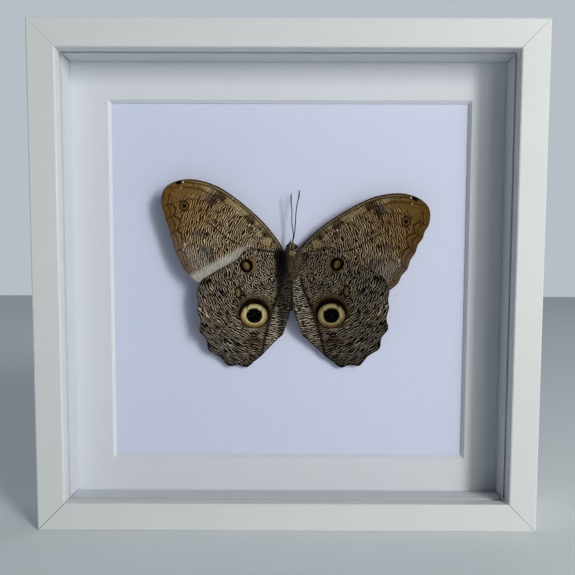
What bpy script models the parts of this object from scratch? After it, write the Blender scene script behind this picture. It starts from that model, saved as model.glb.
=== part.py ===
"""A mounted owl butterfly, wings spread and underside to the viewer, in a deep white box frame.

The frame stands upright on its bottom rail: +Z is up, and the glazed front faces -Y.
Every length below is in millimetres; mesh_object() turns them into metres at the end.
Depths run back from the frame's front, heights out from the backing card towards the glass.
"""
import math
import random

import bpy
import bmesh
from mathutils import Vector
from mathutils.geometry import delaunay_2d_cdt

MM = 0.001
GAP = 0.3                       # clearance that neighbouring pieces keep

# The case
SIDE = 250.0                    # outer width and height of the frame
DEPTH = 45.0
FACE = 14.0                     # width of the moulding seen from the front
LIP = 6.0                       # thickness of the lip that holds the glass
RABBET = 4.0                    # how far the lip stands in over the rail
EDGE_ROUND = 0.8                # rounding of the moulding's long front edges
MITRE_GAP = 0.2                 # each rail end stops this far short of the mitre
GLASS = 2.0
MAT = 1.5
CARD = 0.8
FOAM_BOARD = 5.0
BACK_PANEL = 3.0

# Depths of the layers behind the lip, front face of each
GLASS_AT = LIP + GAP
SPACER_AT = GLASS_AT + GLASS + GAP
MAT_AT = 20.0
CARD_AT = MAT_AT + MAT + GAP
FOAM_AT = CARD_AT + CARD + GAP
PANEL_AT = FOAM_AT + FOAM_BOARD + GAP
POINT_AT = PANEL_AT + BACK_PANEL + GAP

LAYER_SIDE = SIDE - 2 * (FACE - RABBET + GAP)   # glass, mat, card and boards share it
WINDOW = 186.0                  # opening of the mat at its front face
WINDOW_MID = (1.0, 124.3)       # x and z of the opening's middle
MAT_BEVEL = 1.5

# The retaining points and the hanger on the back
POINT_SIZE = (9.0, 13.0, 1.0)   # width, length, thickness
POINT_SPREAD = 70.0             # half the distance between the two on one rail
HANGER_SIZE = (44.0, 9.0, 1.2)
HANGER_DROP = 24.0              # below the top of the back panel

# The butterfly
MIDLINE = 1.9                   # x of its midline, a little right of the frame's middle
WING = 0.5                      # thickness of a wing membrane
VEIN_HALF = 0.55                # half the width of a raised vein
VEIN_RISE = 0.28
OUTLINE_STEP = 1.9
VEIN_STEP = 3.4
FOREWING_ROOT = (4.0, 140.0)    # from the midline, and above the floor
HINDWING_ROOT = (4.0, 138.0)
FOREWING_TURN = {"left": 28.7, "right": 20.0}   # degrees up from level
HINDWING_TURN = {"left": -3.0, "right": 0.0}
GROWTH = {"left": 1.0, "right": 1.02}           # the right wings measure slightly larger
SCALLOP = {"left": 0.5, "right": 1.0}           # depth of the forewing's margin, right one full
ROOT_GAP = 0.45                 # between a wing's root and the thorax
SEAM = 0.35                     # where the two hindwings' inner margins meet, from the midline
HALF_SPAN = 62.0
ROOT_HEIGHT = 3.6
TIP_HEIGHT = 10.0
HINDWING_LIFT = 1.25            # how far the hindwing lies in front of the forewing
FLAP_LIFT = 3.4                 # extra rise of the inner margins over the abdomen
BOTTOM_HEIGHT = 2.3


def clear_scene():
    for item in list(bpy.data.objects):
        bpy.data.objects.remove(item)


def material(name, colour, roughness, metallic=0.0, alpha=1.0):
    made = bpy.data.materials.new(name)
    made.use_nodes = True
    shader = made.node_tree.nodes["Principled BSDF"]
    shader.inputs["Base Color"].default_value = (*colour, 1.0)
    shader.inputs["Roughness"].default_value = roughness
    shader.inputs["Metallic"].default_value = metallic
    shader.inputs["Alpha"].default_value = alpha
    return made


def finish(bm, name, look, smooth=False):
    """Turn a bmesh drawn in millimetres into a named object with faces pointing out."""
    bmesh.ops.recalc_face_normals(bm, faces=bm.faces)
    bmesh.ops.scale(bm, vec=(MM, MM, MM), verts=bm.verts)
    mesh = bpy.data.meshes.new(name)
    bm.to_mesh(mesh)
    bm.free()
    mesh.materials.append(look)
    if smooth:
        mesh.shade_smooth()
        mesh.set_sharp_from_angle(angle=math.radians(40))
    made = bpy.data.objects.new(name, mesh)
    bpy.context.scene.collection.objects.link(made)
    return made


def at_depth(depth):
    return depth - DEPTH / 2


def at_height(height):
    """y of a point that stands this far in front of the backing card."""
    return at_depth(CARD_AT) - height


def ease(value):
    """Smooth step from 0 to 1."""
    value = min(max(value, 0.0), 1.0)
    return value * value * (3 - 2 * value)


def curve_through(points, step, closed=False):
    """Points about a step apart on a Catmull-Rom curve through the given ones."""
    points = [Vector(p) for p in points]
    count = len(points)
    spans = count if closed else count - 1
    drawn = []
    for index in range(spans):
        if closed:
            before, start, end, after = (points[(index + k) % count] for k in (-1, 0, 1, 2))
        else:
            start, end = points[index], points[index + 1]
            before = points[index - 1] if index else start * 2 - end
            after = points[index + 2] if index + 2 < count else end * 2 - start
        pieces = max(1, round((end - start).length / step))
        for piece in range(pieces):
            t = piece / pieces
            drawn.append(0.5 * (2 * start + (end - before) * t
                                + (2 * before - 5 * start + 4 * end - after) * t * t
                                + (3 * start - before - 3 * end + after) * t ** 3))
    if not closed:
        drawn.append(points[-1])
    return drawn


# The case

def rail_profile():
    """Outline of a rail's cross-section as (inset from the outer edge, depth)."""
    corner = EDGE_ROUND * (1 - math.sqrt(0.5))
    return [(0, DEPTH), (0, EDGE_ROUND), (corner, corner), (EDGE_ROUND, 0),
            (FACE - EDGE_ROUND, 0), (FACE - corner, corner), (FACE, EDGE_ROUND),
            (FACE, LIP), (FACE - RABBET, LIP), (FACE - RABBET, DEPTH)]


def spacer_profile():
    outer, inner = FACE - RABBET + GAP, FACE
    return [(outer, SPACER_AT), (inner, SPACER_AT), (inner, MAT_AT - GAP), (outer, MAT_AT - GAP)]


def frame_point(side, inset, along, depth):
    """A point of the frame's border: along runs clockwise along the named side."""
    low, high = inset, SIDE - inset
    x, z = {"top": (along, high), "bottom": (along, low),
            "left": (low, along), "right": (high, along)}[side]
    return Vector((x - SIDE / 2, at_depth(depth), z))


def mitred_strip(name, side, profile, look):
    """A profile drawn along one side of the frame, its two ends cut at 45 degrees."""
    bm = bmesh.new()
    start = [bm.verts.new(frame_point(side, i, i + MITRE_GAP, d)) for i, d in profile]
    face = bm.faces.new(start)
    grown = bmesh.ops.extrude_face_region(bm, geom=[face])
    moved = [g for g in grown["geom"] if isinstance(g, bmesh.types.BMVert)]
    for vert in moved:
        inset, depth = min(profile, key=lambda p: (frame_point(side, p[0], p[0] + MITRE_GAP, p[1])
                                                   - vert.co).length)
        vert.co = frame_point(side, inset, SIDE - inset - MITRE_GAP, depth)
    return finish(bm, name, look)


def board(name, thickness, depth, look, side=LAYER_SIDE):
    """A square board centred in the frame, its front face at the given depth."""
    bm = bmesh.new()
    bmesh.ops.create_cube(bm, size=1.0)
    bmesh.ops.scale(bm, vec=(side, thickness, side), verts=bm.verts)
    bmesh.ops.translate(bm, vec=(0, at_depth(depth) + thickness / 2, SIDE / 2), verts=bm.verts)
    return finish(bm, name, look)


def square_loop(bm, middle, side, depth):
    corners = [(-1, -1), (1, -1), (1, 1), (-1, 1)]
    return [bm.verts.new((middle[0] + side / 2 * sx, at_depth(depth), middle[1] + side / 2 * sz))
            for sx, sz in corners]


def window_mat(look):
    """The mat: a board with a square window whose edge is cut at 45 degrees."""
    bm = bmesh.new()
    middle = (0, SIDE / 2)
    loops = [square_loop(bm, middle, LAYER_SIDE, MAT_AT),
             square_loop(bm, WINDOW_MID, WINDOW, MAT_AT),
             square_loop(bm, WINDOW_MID, WINDOW - 2 * MAT_BEVEL, MAT_AT + MAT),
             square_loop(bm, middle, LAYER_SIDE, MAT_AT + MAT)]
    for here, there in zip(loops, loops[1:] + loops[:1]):
        for k in range(4):
            n = (k + 1) % 4
            bm.faces.new((here[k], here[n], there[n], there[k]))
    return finish(bm, "mat", look)


def slab(name, size, middle, look):
    """A small plate with bevelled edges: size and middle as (x, y, z)."""
    bm = bmesh.new()
    bmesh.ops.create_cube(bm, size=1.0)
    bmesh.ops.scale(bm, vec=size, verts=bm.verts)
    bmesh.ops.translate(bm, vec=middle, verts=bm.verts)
    bmesh.ops.bevel(bm, geom=bm.edges[:], offset=min(size) * 0.2, segments=1, affect="EDGES")
    return finish(bm, name, look)


def build_case(looks):
    for side in ("top", "bottom", "left", "right"):
        mitred_strip(f"rail_{side}", side, rail_profile(), looks["frame"])
        mitred_strip(f"spacer_{side}", side, spacer_profile(), looks["spacer"])
    board("glazing", GLASS, GLASS_AT, looks["glass"])
    window_mat(looks["mat"])
    board("backing_card", CARD, CARD_AT, looks["card"])
    board("foam_board", FOAM_BOARD, FOAM_AT, looks["foam"])
    board("back_panel", BACK_PANEL, PANEL_AT, looks["panel"])
    build_retaining_points(looks["metal"])
    width, height, thickness = HANGER_SIZE
    panel_top = SIDE / 2 + LAYER_SIDE / 2
    slab("hanger", (width, thickness, height),
         (0, at_depth(POINT_AT) + thickness / 2, panel_top - HANGER_DROP), looks["metal"])


def build_retaining_points(look):
    """Two flat metal points on each rail hold the back panel in."""
    width, length, thickness = POINT_SIZE
    reach = SIDE / 2 - (FACE - RABBET) - GAP - length / 2
    y = at_depth(POINT_AT) + thickness / 2
    for number, spread in enumerate((-POINT_SPREAD, POINT_SPREAD), start=1):
        upright, level = (width, thickness, length), (length, thickness, width)
        slab(f"point_top_{number}", upright, (spread, y, SIDE / 2 + reach), look)
        slab(f"point_bottom_{number}", upright, (spread, y, SIDE / 2 - reach), look)
        slab(f"point_left_{number}", level, (-reach, y, SIDE / 2 + spread), look)
        slab(f"point_right_{number}", level, (reach, y, SIDE / 2 + spread), look)


# The body: cross-sections as (z, half width, half depth, height of the middle)

THORAX = [(129.4, 2.3, 2.5, 4.6), (130.6, 3.0, 3.3, 5.2), (132.4, 3.55, 4.1, 6.0),
          (135.0, 3.8, 4.4, 6.3), (137.6, 3.6, 4.3, 6.3), (139.4, 2.8, 3.4, 6.3),
          (140.4, 1.6, 2.0, 6.3)]
HEAD = [(140.7, 1.5, 1.7, 6.3), (141.5, 2.05, 2.15, 6.4), (142.7, 2.25, 2.3, 6.5),
        (143.9, 1.85, 1.9, 6.5), (144.8, 1.0, 1.0, 6.4)]
ABDOMEN = [(110.0, 0.7, 0.7, 3.6), (111.5, 1.5, 1.5, 3.7), (114.5, 2.3, 2.2, 3.8),
           (119.0, 2.9, 2.8, 4.0), (124.0, 3.0, 2.9, 4.1), (127.6, 2.7, 2.7, 4.3),
           (129.1, 2.2, 2.4, 4.6)]
HEAD_X = 0.3
EYE_X = 1.8
EYE_RADIUS = 1.3
EYE_AT = (142.6, 6.9)           # z and height


def section_at(stations, z):
    """Half width, half depth and middle height of a body at z, straight between stations."""
    for low, high in zip(stations, stations[1:]):
        if low[0] <= z <= high[0]:
            t = (z - low[0]) / (high[0] - low[0])
            return [a + (b - a) * t for a, b in zip(low[1:], high[1:])]
    end = stations[0] if z < stations[0][0] else stations[-1]
    return list(end[1:])


def surface_height(stations, x, z):
    """Height of a body's front surface at x from its midline."""
    half_width, half_depth, middle = section_at(stations, z)
    inside = max(0.0, 1 - (x / half_width) ** 2)
    return middle + half_depth * math.sqrt(inside)


def side_at(stations, z, height):
    """How far a body reaches sideways at z and at a height."""
    half_width, half_depth, middle = section_at(stations, z)
    inside = max(0.0, 1 - ((height - middle) / half_depth) ** 2)
    return half_width * math.sqrt(inside)


def lofted(stations, x, sides):
    """A closed body through oval cross-sections, as a bmesh in millimetres."""
    bm = bmesh.new()
    rings = []
    for z, half_width, half_depth, middle in stations:
        ring = []
        for k in range(sides):
            angle = math.tau * k / sides
            ring.append(bm.verts.new((MIDLINE + x + half_width * math.cos(angle),
                                      at_height(middle + half_depth * math.sin(angle)), z)))
        rings.append(ring)
    for low, high in zip(rings, rings[1:]):
        for k in range(sides):
            n = (k + 1) % sides
            bm.faces.new((low[k], low[n], high[n], high[k]))
    bm.faces.new(rings[0])
    bm.faces.new(rings[-1])
    return bm


def ball(name, middle, radius, look, hidden=False):
    bm = bmesh.new()
    bmesh.ops.create_uvsphere(bm, u_segments=14, v_segments=9, radius=radius)
    bmesh.ops.translate(bm, vec=middle, verts=bm.verts)
    made = finish(bm, name, look, smooth=True)
    if hidden:
        made.hide_render = True
        made.display_type = "WIRE"
    return made


def eye_middle(sign):
    z, height = EYE_AT
    return Vector((MIDLINE + HEAD_X + sign * EYE_X, at_height(height), z))


def build_head(looks):
    head = finish(lofted(HEAD, HEAD_X, 16), "head", looks["fur"], smooth=True)
    for side, sign in (("left", -1), ("right", 1)):
        ball(f"eye_{side}", eye_middle(sign), EYE_RADIUS, looks["eye"])
        socket = ball(f"socket_{side}", eye_middle(sign), EYE_RADIUS + GAP, looks["fur"], True)
        cut = head.modifiers.new(f"socket_{side}", "BOOLEAN")
        cut.operation = "DIFFERENCE"
        cut.object = socket


def tube(name, route, radii, look, resolution=2, parent_x=0.0):
    """A round limb through (x, height, z) points with a radius at each, closed at both ends."""
    path = bpy.data.curves.new(name, "CURVE")
    path.dimensions = "3D"
    path.bevel_depth = MM
    path.bevel_resolution = resolution
    path.use_fill_caps = True
    spline = path.splines.new("POLY")
    spline.points.add(len(route) - 1)
    for point, (x, height, z), radius in zip(spline.points, route, radii):
        place = Vector((MIDLINE + parent_x + x, at_height(height), z)) * MM
        point.co = (*place, 1.0)
        point.radius = radius
    made = bpy.data.objects.new(name, path)
    path.materials.append(look)
    bpy.context.scene.collection.objects.link(made)
    return made


def even_route(points, step):
    """Points of a smooth curve through the given ones, and how far along each lies, 0 to 1."""
    route = curve_through(points, step)
    lengths = [0.0]
    for here, there in zip(route, route[1:]):
        lengths.append(lengths[-1] + (there - here).length)
    return route, [length / lengths[-1] for length in lengths]


ANTENNA = {
    "left": [(0.45, 6.2, 145.25), (0.9, 6.0, 146.6), (1.15, 5.8, 148.6), (0.75, 5.8, 151.4),
             (0.35, 5.8, 154.6), (0.3, 5.9, 158.2), (0.35, 6.0, 160.8), (-0.1, 6.1, 164.4),
             (-0.15, 6.2, 169.6)],
    "right": [(0.75, 7.1, 145.25), (1.3, 7.2, 147.2), (1.65, 7.2, 149.8), (1.95, 7.1, 152.6),
              (2.2, 7.0, 156.6), (2.4, 6.9, 160.2), (2.9, 6.8, 163.8), (3.7, 6.7, 167.4),
              (4.1, 6.6, 171.1)]}
ANTENNA_RADIUS = 0.25
CLUB_RADIUS = 0.36


def build_antennae(look):
    for side, points in ANTENNA.items():
        route, along = even_route(points, 1.6)
        radii = [ANTENNA_RADIUS + (CLUB_RADIUS - ANTENNA_RADIUS) * ease((t - 0.78) / 0.12)
                 for t in along]
        radii[-1] *= 0.6
        tube(f"antenna_{side}", route, radii, look)


PALP = [(0.75, 9.1, 140.7), (0.8, 9.6, 141.9), (0.75, 9.75, 143.2), (0.65, 9.5, 144.6),
        (0.55, 9.0, 146.3)]
PALP_RADII = (0.45, 0.55, 0.6, 0.45, 0.12)


def build_palps(look):
    for side, sign in (("left", -1), ("right", 1)):
        route = [Vector((HEAD_X + sign * x, height, z)) for x, height, z in PALP]
        tube(f"palp_{side}", route, PALP_RADII, look, resolution=3)


# Legs folded on the underside of the thorax: (x, z) along each, out from the midline
LEG_RADIUS = 0.25
LEGS = {"foreleg": [(1.5, 138.5), (1.75, 139.5), (1.95, 140.4)],
        "middle_leg": [(1.3, 136.2), (1.25, 137.2), (0.85, 137.9), (0.46, 137.2), (0.42, 135.4),
                       (0.48, 133.2), (0.42, 131.2)],
        "hind_leg": [(1.5, 135.2), (1.3, 134.2), (1.25, 132.8), (1.22, 131.3)]}
LEG_FLOOR = 8.9                 # lowest height of a leg's middle


def build_legs(look):
    for kind, joints in LEGS.items():
        for side, sign in (("left", -1), ("right", 1)):
            raised = []
            for x, z in joints:
                height = surface_height(THORAX, x, z) + GAP + LEG_RADIUS + 0.25
                raised.append(Vector((sign * x, max(height, LEG_FLOOR), z)))
            route, along = even_route(raised, 0.9)
            radii = [LEG_RADIUS * (1 - 0.15 * t) for t in along]
            tube(f"{kind}_{side}", route, radii, look)


# Locks of hair: flat, bent and tapered strips that lie over the front of the thorax
LOCK_THICKNESS = 0.6
LOCK_WIDTH = 1.1
LOCK_SHAPE = ((0.0, 0.8, -0.45), (0.35, 1.0, 0.2), (0.7, 0.65, 0.35), (1.0, 0.0, 0.25))
SIDE_ROWS = (137.7, 136.7, 135.7, 134.7, 133.7, 132.7)
SIDE_COLUMNS = (2.45, 2.95)
SIDE_LENGTH = 3.2
TAIL_ROOTS = (130.7, 130.1)
TAIL_TIP = (0.1, 127.7)         # where the lowest hair draws to a point
TAIL_HEIGHT = 9.45              # the tail of hair lies over the hindwings' inner margins
COLLAR = (139.6, 138.6)         # root and tip of the locks under the head


def over_thorax(x, z, lift):
    """A point over the front of the thorax, kept off its sides."""
    half_width = section_at(THORAX, z)[0]
    reach = half_width * 0.76
    on_body = min(max(x, -reach), reach)
    height = surface_height(THORAX, on_body, z) + lift
    if z < TAIL_ROOTS[0] - 0.4:
        height, on_body = max(height, TAIL_HEIGHT), x
    return Vector((MIDLINE + on_body, at_height(height), z))


def lock(name, root, tip, width, look):
    """One closed lock from root to tip, both (x, z), sunk in at the root and bent over."""
    middles = [over_thorax(root[0] + (tip[0] - root[0]) * t, root[1] + (tip[1] - root[1]) * t, lift)
               for t, wide, lift in LOCK_SHAPE]
    along = (middles[2] - middles[0]).normalized()
    out = (middles[1] - over_thorax(0.0, root[1] - 1.0, -3.0)).normalized()
    across = along.cross(out).normalized()
    out = across.cross(along).normalized()
    bm = bmesh.new()
    rings = []
    for middle, (t, wide, lift) in zip(middles[:-1], LOCK_SHAPE):
        half, thick = width / 2 * wide, LOCK_THICKNESS / 2 * (1 - 0.4 * t)
        rings.append([bm.verts.new(middle + across * half), bm.verts.new(middle + out * thick),
                      bm.verts.new(middle - across * half), bm.verts.new(middle - out * thick)])
    for here, there in zip(rings, rings[1:]):
        for k in range(4):
            n = (k + 1) % 4
            bm.faces.new((here[k], here[n], there[n], there[k]))
    point = bm.verts.new(middles[-1])
    for k in range(4):
        bm.faces.new((rings[-1][k], rings[-1][(k + 1) % 4], point))
    bm.faces.new(rings[0])
    return finish(bm, name, look)


def thorax_locks(look):
    """Locks down both sides of the legs, a collar over them and a tail of hair below."""
    rng = random.Random(5)
    made = []

    def grow(root, tip, width):
        made.append(lock(f"lock_{len(made)}", root, tip, width * rng.uniform(0.85, 1.1), look))

    for z in SIDE_ROWS:
        for column in SIDE_COLUMNS:
            for sign in (-1, 1):
                x = sign * (column + rng.uniform(-0.1, 0.15))
                low = z - SIDE_LENGTH * rng.uniform(0.8, 1.15)
                grow((x, z), (x * rng.uniform(0.9, 1.0), low), LOCK_WIDTH)
    for x in (-0.45, 0.45):
        grow((x, COLLAR[0]), (x * 1.2, COLLAR[1]), LOCK_WIDTH * 0.75)
    for z in TAIL_ROOTS:
        for k in range(7):
            x = (k - 3) * 0.62 + rng.uniform(-0.1, 0.1)
            low = TAIL_TIP[1] + abs(x) * 0.45 + rng.uniform(0, 0.5)
            grow((x, z), (x * 0.35 + TAIL_TIP[0], low), LOCK_WIDTH * 0.85)
    return made


def largest_shell(mesh):
    """Keep only the largest closed surface of a mesh."""
    bm = bmesh.new()
    bm.from_mesh(mesh)
    waiting, shells = set(bm.faces), []
    while waiting:
        shell, edge_of = [], [waiting.pop()]
        while edge_of:
            face = edge_of.pop()
            shell.append(face)
            for near in {f for e in face.edges for f in e.link_faces} & waiting:
                waiting.discard(near)
                edge_of.append(near)
        shells.append(shell)
    largest = max(shells, key=len)
    spare = [face for shell in shells if shell is not largest for face in shell]
    bmesh.ops.delete(bm, geom=spare, context="FACES")
    bmesh.ops.triangulate(bm, faces=bm.faces)
    bm.to_mesh(mesh)
    bm.free()


def join_all(target, pieces):
    """Unite the pieces with the target in one closed surface, and remove them."""
    group = bpy.data.collections.new("locks")
    bpy.context.scene.collection.children.link(group)
    for piece in pieces:
        bpy.context.scene.collection.objects.unlink(piece)
        group.objects.link(piece)
    union = target.modifiers.new("locks", "BOOLEAN")
    union.operation = "UNION"
    union.operand_type = "COLLECTION"
    union.collection = group
    union.use_self = True
    graph = bpy.context.evaluated_depsgraph_get()
    joined = bpy.data.meshes.new_from_object(target.evaluated_get(graph))
    target.modifiers.clear()
    target.data = joined
    for piece in pieces:
        bpy.data.objects.remove(piece)
    bpy.data.collections.remove(group)
    largest_shell(joined)


def build_thorax(look):
    thorax = finish(lofted(THORAX, 0.0, 18), "thorax", look, smooth=True)
    join_all(thorax, thorax_locks(look))
    return thorax


# The wings: outlines in the wing's own plane, u out from the root and v up

FORE_COSTA = [(0.3, 0.6), (4.0, 3.3), (8.5, 5.4), (14.0, 7.6), (20.0, 9.4), (30.0, 11.5),
              (40.0, 12.7), (46.0, 12.6), (53.0, 11.2), (59.0, 8.8), (64.0, 4.8),
              (66.8, 0.6), (67.3, -3.0), (66.2, -6.6)]
FORE_TIPS = [(64.2, -9.8), (59.6, -14.6), (54.0, -20.0), (47.6, -26.4), (41.0, -31.4)]
FORE_REAR = [(35.2, -33.6), (31.0, -34.6), (27.5, -32.5), (20.0, -24.0), (11.0, -14.0),
             (4.0, -6.8)]
HIND_COSTA = [(1.0, 0.8), (4.0, 1.9), (8.0, 2.7), (12.0, 3.6), (16.3, 4.4), (20.0, 2.9),
              (22.6, -0.3), (27.2, -2.8), (32.4, -5.2), (37.6, -8.0), (41.7, -10.4), (43.6, -13.6)]
HIND_TIPS = [(44.9, -17.8), (44.9, -25.6), (44.7, -36.2), (41.0, -46.8), (31.4, -55.9),
             (21.8, -57.0), (14.2, -51.4), (4.2, -42.0)]
HIND_NOTCHES = (0.7, 1.2, 1.3, 0.9, 1.0, 0.1, 0.1)
HIND_INNER = [(2.4, -40.7), (0.3, -35.5), (-1.3, -30.5), (-2.6, -25.5), (-3.3, -21.0),
              (-3.5, -17.0), (-3.4, -13.0), (-3.2, -10.6)]


def scalloped(tips, depths):
    """Points of a margin that bulges at the vein tips and is cut in between them."""
    margin = [Vector(tips[0])]
    for here, there, depth in zip(tips, tips[1:], depths):
        here, there = Vector(here), Vector(there)
        inward = Vector((there.y - here.y, -(there.x - here.x))).normalized()
        margin.append((here + there) / 2 + inward * depth)
        margin.append(there)
    return margin


def wing_to_body(point, root, turn, growth):
    """From the wing's plane to (x from the midline outwards, z)."""
    angle = math.radians(turn)
    u, v = point[0] * growth, point[1] * growth
    return Vector((root[0] + u * math.cos(angle) - v * math.sin(angle),
                   root[1] + u * math.sin(angle) + v * math.cos(angle)))


def span_height(x):
    """Height of the forewings' plane: it rises from the roots to the tips."""
    t = min(max((x - 2.0) / HALF_SPAN, 0.0), 1.0)
    return ROOT_HEIGHT + (TIP_HEIGHT - ROOT_HEIGHT) * (1 - (1 - t) ** 1.6)


def forewing_height(x, z):
    return span_height(x)


def hindwing_height(x, z):
    """The hindwing lies in front of the forewing, arches over the abdomen and falls at its foot."""
    below = HINDWING_ROOT[1] - 1.0 - z
    arch = ease((below - 2.0) / 5.0) * (1 - ease((below - 34.0) / 12.0))
    height = span_height(x) + HINDWING_LIFT + FLAP_LIFT * math.exp(-((x - 1.0) / 6.0) ** 2) * arch
    fall = ease((below - 30.0) / 30.0)
    return height * (1 - fall) + BOTTOM_HEIGHT * fall


FORE_VEINS = {
    "subcosta": [(3.5, 2.0), (12.0, 5.6), (22.0, 8.4), (31.0, 10.9)],
    "radius": [(2.5, 0.6), (9.0, 2.9), (18.0, 5.4), (27.0, 6.6), (36.0, 7.4), (46.0, 7.6),
               (56.0, 5.6), (65.4, 0.2)],
    "radius_1": [(25.0, 6.4), (33.0, 9.4), (40.0, 11.6)],
    "radius_2": [(31.0, 7.0), (40.0, 9.9), (48.0, 11.3)],
    "radius_4": [(48.0, 7.5), (56.0, 7.8), (61.5, 5.8)],
    "media_1": [(34.0, 7.3), (40.0, 5.6), (52.9, 0.8), (57.3, -2.9), (63.4, -9.2)],
    "media_2": [(35.0, 2.6), (43.9, -0.5), (53.1, -5.9), (58.8, -13.6)],
    "cell_end": [(34.0, 7.3), (35.0, 2.6), (37.6, -1.6), (41.4, -5.6)],
    "cubitus": [(2.2, -1.2), (10.9, -4.7), (16.5, -6.6), (25.5, -7.8), (32.0, -7.0),
                (41.4, -5.6), (46.5, -9.6), (50.2, -13.4), (53.4, -19.2)],
    "cubitus_1": [(33.0, -6.9), (38.0, -13.2), (44.0, -21.1), (47.0, -25.6)],
    "cubitus_2": [(24.0, -7.8), (30.0, -16.5), (35.4, -24.1), (40.2, -30.4)],
    "anal": [(2.4, -3.4), (9.0, -7.6), (17.5, -13.6), (25.5, -22.0), (32.6, -31.6)]}
HIND_VEINS = {
    "subcosta": [(3.0, 0.0), (12.0, 0.6), (22.0, -2.0), (33.0, -7.8), (42.2, -13.4)],
    "radial": [(2.2, -1.8), (9.0, -4.6), (16.0, -7.4), (28.0, -10.6), (37.0, -13.4),
               (43.8, -17.6)],
    "media_1": [(16.0, -7.4), (20.0, -11.4), (33.0, -18.8), (43.7, -25.0)],
    "media_2": [(20.0, -11.4), (21.5, -14.6), (33.0, -25.2), (43.5, -35.2)],
    "cubitus": [(2.0, -3.4), (6.0, -9.5), (10.0, -14.6), (15.5, -17.8), (21.5, -21.0),
                (32.0, -35.0), (40.2, -45.6)],
    "cell_end": [(20.0, -11.4), (21.5, -14.6), (19.6, -19.8)],
    "cubitus_1": [(15.5, -17.8), (19.1, -25.0), (21.1, -32.2), (26.4, -45.0), (30.9, -54.6)],
    "cubitus_2": [(10.0, -14.6), (11.9, -26.1), (13.9, -33.3), (18.4, -46.0), (21.5, -55.7)],
    "anal_2": [(1.2, -5.4), (1.8, -14.6), (4.7, -22.1), (7.8, -29.7), (11.0, -40.0),
               (13.6, -49.8)],
    "anal_3": [(-1.5, -12.5), (-1.4, -20.0), (0.6, -29.0), (3.6, -38.0)]}


def distance_to(route, point):
    """Shortest distance from a point to a chain of points, and how far along it is nearest."""
    best = (1e9, 0.0)
    for index, (start, end) in enumerate(zip(route, route[1:])):
        leg = end - start
        t = min(max((point - start).dot(leg) / leg.length_squared, 0.0), 1.0)
        gap = (point - (start + leg * t)).length
        if gap < best[0]:
            best = (gap, (index + t) / (len(route) - 1))
    return best


def vein_rise(veins, point):
    """Height of the vein ridges over the membrane at a point."""
    rise = 0.0
    for route in veins:
        gap, along = distance_to(route, point)
        if gap < VEIN_HALF:
            taper = 1 - 0.5 * ease((along - 0.5) / 0.5)
            rise = max(rise, VEIN_RISE * taper * (1 - gap / VEIN_HALF))
    return rise


def chain_feet(route, sign, veins, points, edges):
    """The line where one side of a vein's ridge meets the membrane, left open at its forks."""
    before = None
    for k in range(len(route)):
        leg = (route[min(k + 1, len(route) - 1)] - route[max(k - 1, 0)]).normalized()
        foot = route[k] + Vector((-leg.y, leg.x)) * VEIN_HALF * sign
        clear = all(distance_to(other, foot)[0] > VEIN_HALF * 1.1
                    for other in veins if other is not route)
        if not clear:
            before = None
            continue
        points.append(foot)
        if before is not None:
            edges.append((before, len(points) - 1))
        before = len(points) - 1


def wing(name, outline, veins, height_at, side, look):
    """A wing as a thin sheet cut to its outline, both faces split into the same triangles."""
    points, edges = [], []

    def chain(route, closed=False):
        first = len(points)
        points.extend(route)
        edges.extend((first + k, first + k + 1) for k in range(len(route) - 1))
        if closed:
            edges.append((len(points) - 1, first))

    chain(outline, closed=True)
    for route in veins:
        chain(route)
        for sign in (1, -1):
            chain_feet(route, sign, veins, points, edges)
    ring = outline + outline[:1]
    low_x, high_x = min(p.x for p in outline), max(p.x for p in outline)
    low_z, high_z = min(p.y for p in outline), max(p.y for p in outline)
    spacing = 4.6
    row, z = 0, low_z
    while z < high_z:
        x = low_x + (spacing / 2 if row % 2 else 0)
        while x < high_x:
            fill = Vector((x, z))
            if distance_to(ring, fill)[0] > 1.4 and all(distance_to(v, fill)[0] > 1.6 for v in veins):
                points.append(fill)
            x += spacing
        z += spacing * 0.87
        row += 1
    cut = delaunay_2d_cdt(points, edges, [list(range(len(outline)))], 1, 1e-4)
    flat, triangles = cut[0], cut[2]
    sign = -1 if side == "left" else 1
    bm = bmesh.new()
    front, back = {}, {}
    for index in sorted({k for tri in triangles for k in tri}):
        point = flat[index]
        height, rise = height_at(point.x, point.y), vein_rise(veins, point)
        x = MIDLINE + sign * point.x
        front[index] = bm.verts.new((x, at_height(height + WING / 2 + rise), point.y))
        back[index] = bm.verts.new((x, at_height(height - WING / 2 - rise * 0.6), point.y))
    counts = {}
    for tri in triangles:
        bm.faces.new([front[k] for k in tri])
        bm.faces.new([back[k] for k in reversed(tri)])
        for k in range(3):
            edge = tri[k], tri[(k + 1) % 3]
            counts[edge] = counts.get(edge, 0) + 1
    for a, b in counts:
        if (b, a) not in counts:
            bm.faces.new((front[a], front[b], back[b]))
            bm.faces.new((front[a], back[b], back[a]))
    return finish(bm, name, look, smooth=True)


def forewing_outline(side):
    turn, growth = FOREWING_TURN[side], GROWTH[side]
    depths = [SCALLOP[side] * full for full in (0.5, 0.7, 0.7, 0.7)]
    margin = scalloped(FORE_TIPS, depths)
    drawn = curve_through(FORE_COSTA + [tuple(p) for p in margin] + FORE_REAR, OUTLINE_STEP)
    placed = [wing_to_body(p, FOREWING_ROOT, turn, growth) for p in drawn]
    chord = []
    for z in (136.4, 137.6, 138.8, 140.0):
        height = span_height(FOREWING_ROOT[0]) + WING
        chord.append(Vector((side_at(THORAX, z, height) + ROOT_GAP, z)))
    return placed + chord


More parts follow.
